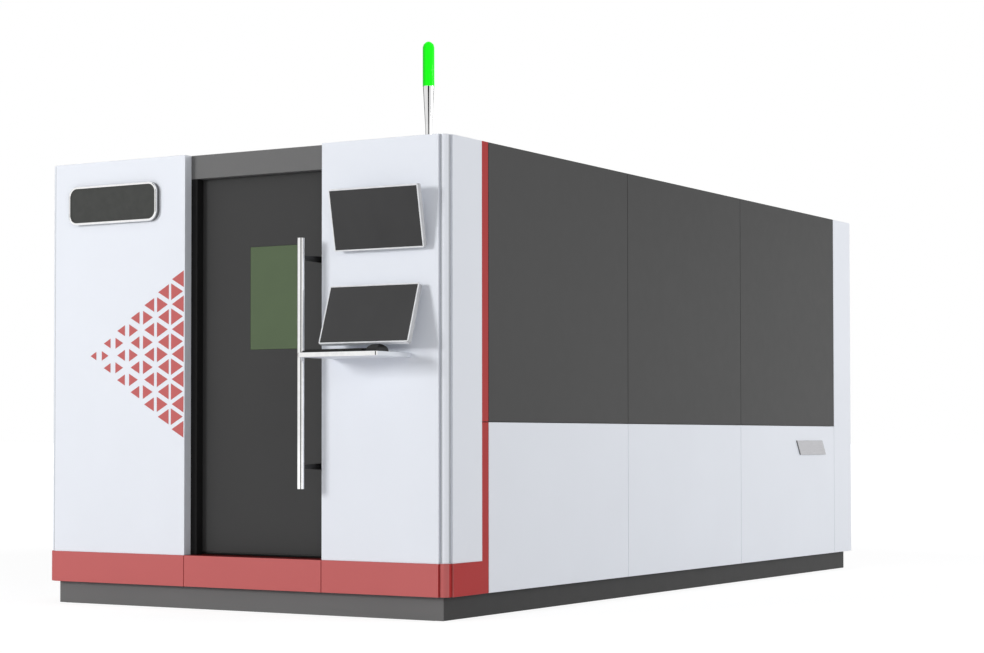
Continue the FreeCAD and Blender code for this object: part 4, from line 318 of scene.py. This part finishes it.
# node: (material, width of its rounded edges in millimetres); at 0 the node's own mesh shows,
# and the nodes in SPUN below are drawn round instead
FINISHES = {
    "base_frame": ("plinth", 3.0),
    "enclosure_frame": ("frame", 3.0),
    "front_panels": ("white", 2.0),
    "header_panel": ("header", 1.5),
    "front_corner_strips": ("white", 3.0),
    "red_bands": ("red", 2.0),
    "corner_skins": ("white", 2.0),
    "upper_panels": ("dark", 2.0),
    "lower_panels": ("white", 2.0),
    "roof_panels": ("white", 2.0),
    "jamb_seals": ("rubber", 1.0),
    "door_leaf": ("door", 1.5),
    "door_window": ("window", 0.5),
    "handle_bar": ("chrome", 0.0),
    "handle_posts": ("black", 0.6),
    "door_track": ("steel_x", 0.7),
    "door_hangers": ("steel_z", 0.7),
    "door_roller_left": ("steel", 0.0),
    "door_roller_right": ("steel", 0.0),
    "rear_gate": ("dark", 1.5),
    "gate_guides": ("steel_z", 0.7),
    "bed": ("bed", 3.0),
    "levelling_feet": ("steel", 0.0),
    "gantry_guides": ("steel", 0.0),
    "slat_table": ("bed", 1.0),
    "slats": ("slat", 0.0),
    "wheelset_front": ("steel_x", 0.0),
    "wheelset_middle": ("steel_x", 0.0),
    "wheelset_rear": ("steel_x", 0.0),
    "gantry_beam": ("aluminium", 2.0),
    "cross_rails": ("steel_x", 0.7),
    "gantry_trucks": ("aluminium", 1.0),
    "gantry_motors": ("motor", 0.7),
    "pinion_right": ("steel", 0.0),
    "pinion_left": ("steel", 0.0),
    "carriage": ("aluminium", 0.7),
    "carriage_motors": ("motor", 0.7),
    "carriage_pinion": ("steel", 0.0),
    "ball_screw": ("steel_z", 0.0),
    "head_slide": ("aluminium", 0.7),
    "cutting_head": ("head", 1.0),
    "nozzle": ("brass", 0.0),
    "cabinet": ("cabinet", 0.7),
    "cabinet_door": ("cabinet", 0.7),
    "servo_drives": ("drive", 1.0),
    "laser_source": ("black", 1.0),
    "upper_monitor": ("monitor", 1.2),
    "upper_screen": ("upper_screen", 0.3),
    "lower_monitor": ("monitor", 1.2),
    "lower_screen": ("screen", 0.3),
    "monitor_brackets": ("black", 0.7),
    "keyboard_shelf": ("white", 2.5),
    "keyboard": ("plastic", 0.6),
    "mouse": ("plastic", 0.4),
    "mouse_wheel": ("plastic", 0.0),
    "badge_frames": ("chrome", 1.0),
    "badge_plate": ("badge", 0.5),
    # the printed triangles take the lighter red with painted sheen
    "panel_triangles": ("red_front_painted_sheen", 0.0),
    "beacon_post": ("post_chrome", 0.0),
    "beacon_lamp": ("lamp", 0.0),
}
SPUN = ("beacon_post", "beacon_lamp", "handle_bar")


# ---------------------------------------------------------------- finishes of some faces
SQUARE_ON = 0.99                # a face whose normal has this much of an axis looks along it


def faces_front(face):
    return face.normal.y < -0.3


def faces_right(face):
    return face.normal.x > 0.6


def on_side_plate(face):
    """Whether a face of the badge frames is on the plate on the right side of the machine."""
    return face.center.x > 0


# node: pairs of a material and the question that its faces answer with yes; the last yes counts,
# and the numbers are shares of a face's normal, which is 1 long
OTHER_FINISHES = {
    # front-facing faces of the base are painted lighter: painted light
    "base_frame": [("plinth_front_painted_light", faces_front)],
    # front-facing faces of the red bands take the lighter red: painted sheen
    "red_bands": [("red_front_painted_sheen", faces_front)],
    "front_corner_strips": [
        # the slanted face looking front and right: painted highlight
        ("facet_painted_light", lambda face: faces_front(face) and face.normal.x > 0.3),
        # faces looking straight to the front or to a side, the steps of the recessed lines:
        # painted shade
        ("groove_painted_shade", lambda face: face.normal.y < -SQUARE_ON or abs(face.normal.x) > SQUARE_ON)],
    "keyboard_shelf": [
        ("chrome", lambda face: face.normal.y < -0.35 and abs(face.normal.z) < 0.5)],
    # right-facing sides of the monitors: painted shade
    "upper_monitor": [("monitor_side_painted_shade", faces_right)],
    "lower_monitor": [("monitor_side_painted_shade", faces_right)],
    "badge_frames": [
        # outer walls of the front frame and the side plate's front edge: painted dark reflection
        ("chrome_painted_dark_reflection", lambda face: face.center.x < 0 and abs(face.normal.y) < 0.2),
        ("silver", on_side_plate),
        ("chrome_painted_dark_reflection", lambda face: on_side_plate(face) and face.normal.y < -0.5)],
}


def finish_some_faces(mesh, finishes):
    for material, question in finishes:
        mesh.materials.append(MATERIALS[material])
        for face in mesh.polygons:
            if question(face):
                face.material_index = len(mesh.materials) - 1


# ---------------------------------------------------------------- meshes and pieces
SMOOTH_ANGLE = math.radians(32)
FLAT_ANGLE = math.radians(0.5)
WELD = 0.00001
EDGE_SEGMENTS = 2


def body_of(node):
    bodies = frame["record"]["behaviour"]["bodies"]
    return next(body for body, nodes in bodies.items() if node in nodes)


def box_of(corners):
    """Lowest and highest corner of the box around some corners of a mesh."""
    return (Vector([min(corner.co[i] for corner in corners) for i in range(3)]),
            Vector([max(corner.co[i] for corner in corners) for i in range(3)]))


def node_box(node):
    return box_of(frame["nodes"][node].data.vertices)


def welded(node):
    """A copy of a node's mesh, opened for editing with its corners joined and flat faces whole."""
    mesh = frame["nodes"][node].data.copy()
    work = bmesh.new()
    work.from_mesh(mesh)
    bmesh.ops.remove_doubles(work, verts=work.verts, dist=WELD)
    bmesh.ops.dissolve_limit(work, angle_limit=FLAT_ANGLE, verts=work.verts, edges=work.edges)
    return mesh, work


def write_back(work, mesh):
    work.to_mesh(mesh)
    work.free()


def break_edges(work, width):
    bmesh.ops.bevel(work, geom=work.edges, offset=width, segments=EDGE_SEGMENTS, affect="EDGES")


def stitch(work, before, after):
    """Faces between two closed rings with as many corners each."""
    for i in range(len(before)):
        work.faces.new((before[i - 1], before[i], after[i], after[i - 1]))


def new_piece(name, mesh, material, node):
    """A smooth piece with the given material, that rides with the body of a node."""
    piece = bpy.data.objects.new(name, mesh)
    SCENE.collection.objects.link(piece)
    mesh.materials.clear()
    mesh.materials.append(MATERIALS[material])
    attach(piece, body_of(node))
    mesh.shade_smooth()
    mesh.set_sharp_from_angle(angle=SMOOTH_ANGLE)
    return piece


# ---------------------------------------------------------------- dressed copies of the solids
def dress(node, material, edge):
    """Stand a copy with softly rounded edges in for a node, in the same place and form."""
    mesh, work = welded(node)
    write_back(work, mesh)
    piece = new_piece(node + "_skin", mesh, material, node)
    bevel = piece.modifiers.new("edges", "BEVEL")
    bevel.width = edge / 1000
    bevel.segments = EDGE_SEGMENTS
    bevel.limit_method = "ANGLE"
    bevel.angle_limit = SMOOTH_ANGLE
    bevel.harden_normals = True
    graph = bpy.context.evaluated_depsgraph_get()
    piece.data = bpy.data.meshes.new_from_object(piece.evaluated_get(graph))
    piece.modifiers.clear()
    finish_some_faces(piece.data, OTHER_FINISHES.get(node, []))
    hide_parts(node)


# ---------------------------------------------------------------- round copies of turned solids
ROUND_SIDES = 96
RING_DIGITS = 4                 # corners alike to a tenth of a millimetre are on one ring
ON_AXIS = 0.001                 # a corner nearer to the axis than this is the middle of a cap
POST_FLANGE_TOP = 0.0055        # heights on the beacon's post, above its foot
POST_STEM_TOP = 0.050
POST_STEM_RADIUS = 0.0150
POST_COLLAR = 0.006             # height of the straight collar under the lamp


def spin_profile(node):
    """Heights and radii of an upright turned solid, from its rings of corners, and its axis."""
    low, high = node_box(node)
    axis_x, axis_y = (low.x + high.x) / 2, (low.y + high.y) / 2
    rings = {}
    for corner in frame["nodes"][node].data.vertices:
        radius = round(math.hypot(corner.co.x - axis_x, corner.co.y - axis_y), RING_DIGITS)
        rings.setdefault(round(corner.co.z, RING_DIGITS), set()).add(radius)
    profile = []
    for height in sorted(rings):
        last = profile[-1][1] if profile else max(rings[height])
        radii = sorted((radius for radius in rings[height] if radius > ON_AXIS),
                       key=lambda radius: abs(radius - last))
        profile += [(height, radius) for radius in radii]
    return profile, (axis_x, axis_y)


def flared(profile):
    """The post drawn as one long flare from its slim foot up to the lamp."""
    foot, (top, head) = profile[0][0], profile[-1]
    flange = [ring for ring in profile if ring[0] < foot + POST_FLANGE_TOP]
    return flange[:2] + [
        (foot + POST_FLANGE_TOP, POST_STEM_RADIUS), (foot + POST_STEM_TOP, POST_STEM_RADIUS),
        (top - POST_COLLAR, head), (top, head)]


def turn_smooth(node, material):
    """Stand a truly round copy in for a flat-sided turned node, on the same rings."""
    profile, (axis_x, axis_y) = spin_profile(node)
    if node == "beacon_post":
        profile = flared(profile)
    turns = [2 * math.pi * i / ROUND_SIDES for i in range(ROUND_SIDES)]
    work = bmesh.new()
    rings = [[work.verts.new((axis_x + radius * math.cos(turn), axis_y + radius * math.sin(turn),
                              height)) for turn in turns] for height, radius in profile]
    work.faces.new(list(reversed(rings[0])))
    for before, after in zip(rings, rings[1:]):
        stitch(work, before, after)
    work.faces.new(rings[-1])
    mesh = bpy.data.meshes.new(node + "_round")
    write_back(work, mesh)
    piece = new_piece(node + "_round", mesh, material, node)
    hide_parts(node)


# ---------------------------------------------------------------- badge
BADGE_RADIUS = 0.052            # the frame's outer corners
BADGE_STEPS = 16                # steps round each corner, and across the round of the trim
BADGE_TRIM = 0.014              # width of the half-round trim
BADGE_RISE = 0.009              # height of its round
BADGE_LAND = 0.0028             # the dark land inside it lies this far behind its crest
BADGE_INSIDE = 0.0208           # and ends this far from the frame's outer edge
LAND_SLACK = 0.0005


def frame_ring(low, high, inset, y):
    """Corners of a rounded rectangle in an upright plane, a given distance inside a box."""
    radius = BADGE_RADIUS - inset
    left, right = low.x + BADGE_RADIUS, high.x - BADGE_RADIUS
    foot, top = low.z + BADGE_RADIUS, high.z - BADGE_RADIUS
    ring = []
    for quarter, (x, z) in enumerate(((right, top), (left, top), (left, foot), (right, foot))):
        for step in range(BADGE_STEPS + 1):
            turn = math.pi / 2 * (quarter + step / BADGE_STEPS)
            ring.append((x + radius * math.cos(turn), y, z + radius * math.sin(turn)))
    return ring


def trim_section(front, back):
    """Section of the badge's frame: distances inwards from its outer edge, with their y."""
    half, shoulder, land = BADGE_TRIM / 2, front + BADGE_RISE, front + BADGE_LAND
    section = [(0.0, back), (0.0, shoulder)]
    for step in range(1, BADGE_STEPS):
        turn = math.pi * step / BADGE_STEPS
        inset, y = half - half * math.cos(turn), shoulder - BADGE_RISE * math.sin(turn)
        if inset > half and y > land:
            break
        section.append((inset, y))
    return section + [(section[-1][0], land), (BADGE_INSIDE, land), (BADGE_INSIDE, back)]


def make_badge_trim(node, material, edge):
    """Half-round frame with true round corners on the front, beside the node's own side plate."""
    mesh, work = welded(node)
    front_frame = [corner for corner in work.verts if corner.co.x < 0]
    low, high = box_of(front_frame)
    bmesh.ops.delete(work, geom=front_frame, context="VERTS")
    break_edges(work, edge / 1000)
    rings = [[work.verts.new(place) for place in frame_ring(low, high, inset, y)]
             for inset, y in trim_section(low.y, high.y)]
    for before, after in zip(rings, rings[1:] + rings[:1]):
        stitch(work, before, after)
    bmesh.ops.recalc_face_normals(work, faces=work.faces)
    write_back(work, mesh)
    piece = new_piece(node + "_round", mesh, material, node)
    land = low.y + BADGE_LAND

    def on_land(face):
        return (face.center.x < 0 and abs(face.center.y - land) < LAND_SLACK
                and face.normal.y < -SQUARE_ON)

    finish_some_faces(mesh, OTHER_FINISHES[node] + [("badge", on_land)])
    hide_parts(node)


# ---------------------------------------------------------------- small pieces of its own
SWEEP_THICKNESS = 0.008
SWEEP_DROP = 0.012              # from the door's foot to the tips of the brush
SWEEP_HOLDER = 0.005            # height of its holder
SWEEP_EDGE = 0.0005
TUFT_PITCH = 0.006
TUFT_GAP = 0.0006
TUFT_SETBACK = 0.001
TUFT_EDGE = 0.0003
SILL_TOP = 0.2605
SILL_THICKNESS = 0.0015
SILL_INSET = 0.004              # behind the front of the red band
SILL_EDGE = 0.0004
PAN_INSET = 0.006
PAN_DEPTH = 0.004               # below the top of the base
PAN_THICKNESS = 0.0015
PAN_EDGE = 0.0006
PAN_FIELDS = 24                 # fields between the pressed beads
BEAD_INSET = 0.08
BEAD_WIDTH = 0.02


def blocks(name, spans, material, node, edge):
    """Blocks with broken edges, each between two corners, as one piece that rides with a node."""
    mesh = bpy.data.meshes.new(name)
    work = bmesh.new()
    for low, high in spans:
        for corner in bmesh.ops.create_cube(work, size=1.0)["verts"]:
            corner.co = [low[i] + (corner.co[i] + 0.5) * (high[i] - low[i]) for i in range(3)]
    break_edges(work, edge)
    write_back(work, mesh)
    new_piece(name, mesh, material, node)


def make_door_sweep():
    """Brush under the leaf that closes its gap to the sill: a holder and a row of tufts."""
    low, high = node_box("door_leaf")
    back, seam, tip = low.y + SWEEP_THICKNESS, low.z - SWEEP_HOLDER, low.z - SWEEP_DROP
    holder = ((low.x, low.y, seam), (high.x, back, low.z))
    blocks("door_sweep_holder", [holder], "black", "door_leaf", SWEEP_EDGE)
    tufts = []
    width = high.x - low.x
    count = round(width / TUFT_PITCH)
    for i in range(count):
        x = low.x + width * i / count
        tufts.append(((x + TUFT_GAP, low.y + TUFT_SETBACK, tip),
                      (x + TUFT_PITCH, back - TUFT_SETBACK, seam)))
    blocks("door_sweep_brush", tufts, "rubber", "door_leaf", TUFT_EDGE)


def make_sill_strip():
    """Folded red strip on the sill, from the band back to the door, as wide as the doorway, in a
    dark red of painted shade.
    """
    left, right = [corner.x for corner in node_box("header_panel")]
    front = node_box("red_bands")[0].y + SILL_INSET
    back = node_box("door_leaf")[0].y + SWEEP_THICKNESS
    strip = ((left, front, SILL_TOP - SILL_THICKNESS), (right, back, SILL_TOP))
    blocks("sill_strip", [strip], "red_painted_shade", "red_bands", SILL_EDGE)


def make_base_pan():
    """Sheet pan with pressed beads that closes the base under the bed, just below its top."""
    inset = Vector((PAN_INSET, PAN_INSET, 0.0))
    low, high = node_box("base_frame")
    low, high = low + inset, high - inset
    top = high.z - PAN_DEPTH
    spans = [((low.x, low.y, top - PAN_THICKNESS), (high.x, high.y, top))]
    for i in range(1, PAN_FIELDS):
        y = low.y + (high.y - low.y) * i / PAN_FIELDS
        spans.append(((low.x + BEAD_INSET, y - BEAD_WIDTH / 2, top - PAN_THICKNESS / 2),
                      (high.x - BEAD_INSET, y + BEAD_WIDTH / 2, top + PAN_THICKNESS)))
    blocks("base_pan", spans, "frame", "base_frame", PAN_EDGE)


# ---------------------------------------------------------------- floor, light and camera
FLOOR_SIZE = 600.0
FLOOR_COLOUR = (0.86, 0.86, 0.87, 1.0)
CARD_COLOUR = (0.04, 0.04, 0.04, 1.0)
CARD_DISTANCE = 18.0
WHITE = (1.0, 1.0, 1.0, 1.0)
AMBIENT = 0.41                  # the world's strength on the object; the eye sees it at 1
BACKDROP_SHARE = (0.70, 1.0)    # how much of the floor's own white the eye sees, near and far
BACKDROP_REACH = (4.5, 12.0)    # where near ends and far begins, from the middle of the object
BACKDROP_WHITE = 1.21

# light: (place, what it is aimed at, width and height, watts, whether reflections show it)
LIGHTS = {
    "key_light": ((-6.3, -14.9, 3.8), (0.3, -2.5, 1.2), (3.0, 3.0), 955.0, False),
    "rear_fill": ((10.0, 3.5, 4.0), (1.2, 1.0, 1.0), (4.0, 3.0), 340.0, True),
    "front_fill": ((12.0, -14.0, 6.0), (0.5, -1.5, 1.0), (5.0, 5.0), 260.0, False),
}
# upright dark card: (azimuth in degrees from the front towards the right, width, foot, top)
STANDING_CARDS = {
    "card_behind_camera": (29.6, 8.5, 0.0, 9.0),
    "card_left": (-98.0, 11.0, 0.0, 9.0),
    "card_high_rear": (157.0, 11.0, 4.9, 8.0),
}
OVERHEAD_PLACE = (1.2, -6.5, 12.0)
OVERHEAD_SIZE = (6.5, 5.0)
LEVEL = (0.0, 0.0, 0.0)


def seen_directly(tree):
    """1 for camera, glossy and transmission rays, and 0 for the light that falls on the object."""
    path = tree.nodes.new("ShaderNodeLightPath")
    total = path.outputs["Is Camera Ray"]
    for ray in ("Is Glossy Ray", "Is Transmission Ray"):
        highest = tree.nodes.new("ShaderNodeMath")
        highest.operation = "MAXIMUM"
        tree.links.new(total, highest.inputs[0])
        tree.links.new(path.outputs[ray], highest.inputs[1])
        total = highest.outputs[0]
    return total


def make_world():
    world = bpy.data.worlds.new("studio")
    world.use_nodes = True
    SCENE.world = world
    tree = world.node_tree
    background = tree.nodes["Background"]
    set_sockets(background, Color=WHITE)
    strength = tree.nodes.new("ShaderNodeMapRange")
    set_sockets(strength, To_Min=AMBIENT, To_Max=1.0)
    tree.links.new(seen_directly(tree), strength.inputs["Value"])
    tree.links.new(strength.outputs["Result"], background.inputs["Strength"])


def staged_square(name, size, material_name, colour, roughness, sheen):
    """A flat square that isn't part of the object, and the node tree of its material."""
    mesh = bpy.data.meshes.new(name)
    work = bmesh.new()
    bmesh.ops.create_grid(work, x_segments=1, y_segments=1, size=size / 2)
    write_back(work, mesh)
    square = bpy.data.objects.new(name, mesh)
    SCENE.collection.objects.link(square)
    material = bpy.data.materials.new(material_name)
    material.use_nodes = True
    set_sockets(material.node_tree.nodes["Principled BSDF"],
                Base_Color=colour, Roughness=roughness, Specular_IOR_Level=sheen)
    mesh.materials.append(material)
    return square, material.node_tree


def make_floor():
    """Pale floor that is its own colour to the light, and partly glowing white to the eye."""
    _, tree = staged_square("floor", FLOOR_SIZE, "floor_white", FLOOR_COLOUR,
                            roughness=0.9, sheen=0.1)
    shader = tree.nodes["Principled BSDF"]
    glow = tree.nodes.new("ShaderNodeEmission")
    set_sockets(glow, Strength=BACKDROP_WHITE)
    place = tree.nodes.new("ShaderNodeTexCoord")
    length = tree.nodes.new("ShaderNodeVectorMath")
    length.operation = "LENGTH"
    tree.links.new(place.outputs["Object"], length.inputs[0])
    reach = tree.nodes.new("ShaderNodeMapRange")
    set_sockets(reach, From_Min=BACKDROP_REACH[0], From_Max=BACKDROP_REACH[1],
                To_Min=BACKDROP_SHARE[0], To_Max=BACKDROP_SHARE[1])
    tree.links.new(length.outputs["Value"], reach.inputs["Value"])
    share = tree.nodes.new("ShaderNodeMath")
    share.operation = "MULTIPLY"
    tree.links.new(seen_directly(tree), share.inputs[0])
    tree.links.new(reach.outputs["Result"], share.inputs[1])
    mix = tree.nodes.new("ShaderNodeMixShader")
    tree.links.new(share.outputs[0], mix.inputs["Fac"])
    tree.links.new(shader.outputs["BSDF"], mix.inputs[1])
    tree.links.new(glow.outputs["Emission"], mix.inputs[2])
    tree.links.new(mix.outputs["Shader"], tree.nodes["Material Output"].inputs["Surface"])


def area_light(name, place, target, size, watts, glossy):
    data = bpy.data.lights.new(name, "AREA")
    data.shape = "RECTANGLE"
    data.size, data.size_y = size
    data.energy = watts
    light = bpy.data.objects.new(name, data)
    SCENE.collection.objects.link(light)
    light.location = place
    light.visible_camera = False
    light.visible_glossy = glossy
    direction = Vector(target) - light.location
    light.rotation_euler = direction.to_track_quat("-Z", "Y").to_euler()


def dark_card(name, place, turn, size):
    """A dark card that only reflections see; it draws the dark lines in bright metal."""
    card, _ = staged_square(name, 1.0, name, CARD_COLOUR, roughness=1.0, sheen=0.0)
    card.location = place
    card.scale = (*size, 1.0)
    card.rotation_euler = turn
    card.visible_camera = card.visible_diffuse = card.visible_shadow = False


def standing_card(name, azimuth, width, foot, top):
    turn = math.radians(azimuth)
    place = (CARD_DISTANCE * math.sin(turn), -CARD_DISTANCE * math.cos(turn), (foot + top) / 2)
    dark_card(name, place, (math.pi / 2, 0.0, turn), (width, top - foot))


def make_camera():
    data = bpy.data.cameras.new("camera")
    data.lens = CAMERA_LENS
    data.sensor_width = CAMERA_SENSOR
    data.shift_x, data.shift_y = CAMERA_SHIFT
    data.clip_end = CAMERA_REACH
    camera = bpy.data.objects.new("camera", data)
    SCENE.collection.objects.link(camera)
    camera.location = CAMERA_PLACE
    camera.rotation_euler = [math.radians(angle) for angle in CAMERA_TURN]
    SCENE.camera = camera


# ---------------------------------------------------------------- all of it, in order
for node, (material, edge) in FINISHES.items():
    if node in SPUN:
        turn_smooth(node, material)
    elif node == "badge_frames":
        make_badge_trim(node, material, edge)
    elif edge > 0:
        dress(node, material, edge)
    else:
        data = frame["nodes"][node].data
        data.materials.clear()
        data.materials.append(MATERIALS[material])
make_door_sweep()
make_sill_strip()
make_base_pan()

make_world()
make_floor()
for name, settings in LIGHTS.items():
    area_light(name, *settings)
for name, settings in STANDING_CARDS.items():
    standing_card(name, *settings)
dark_card("card_overhead", OVERHEAD_PLACE, LEVEL, OVERHEAD_SIZE)
make_camera()
SCENE.view_settings.view_transform = "Standard"
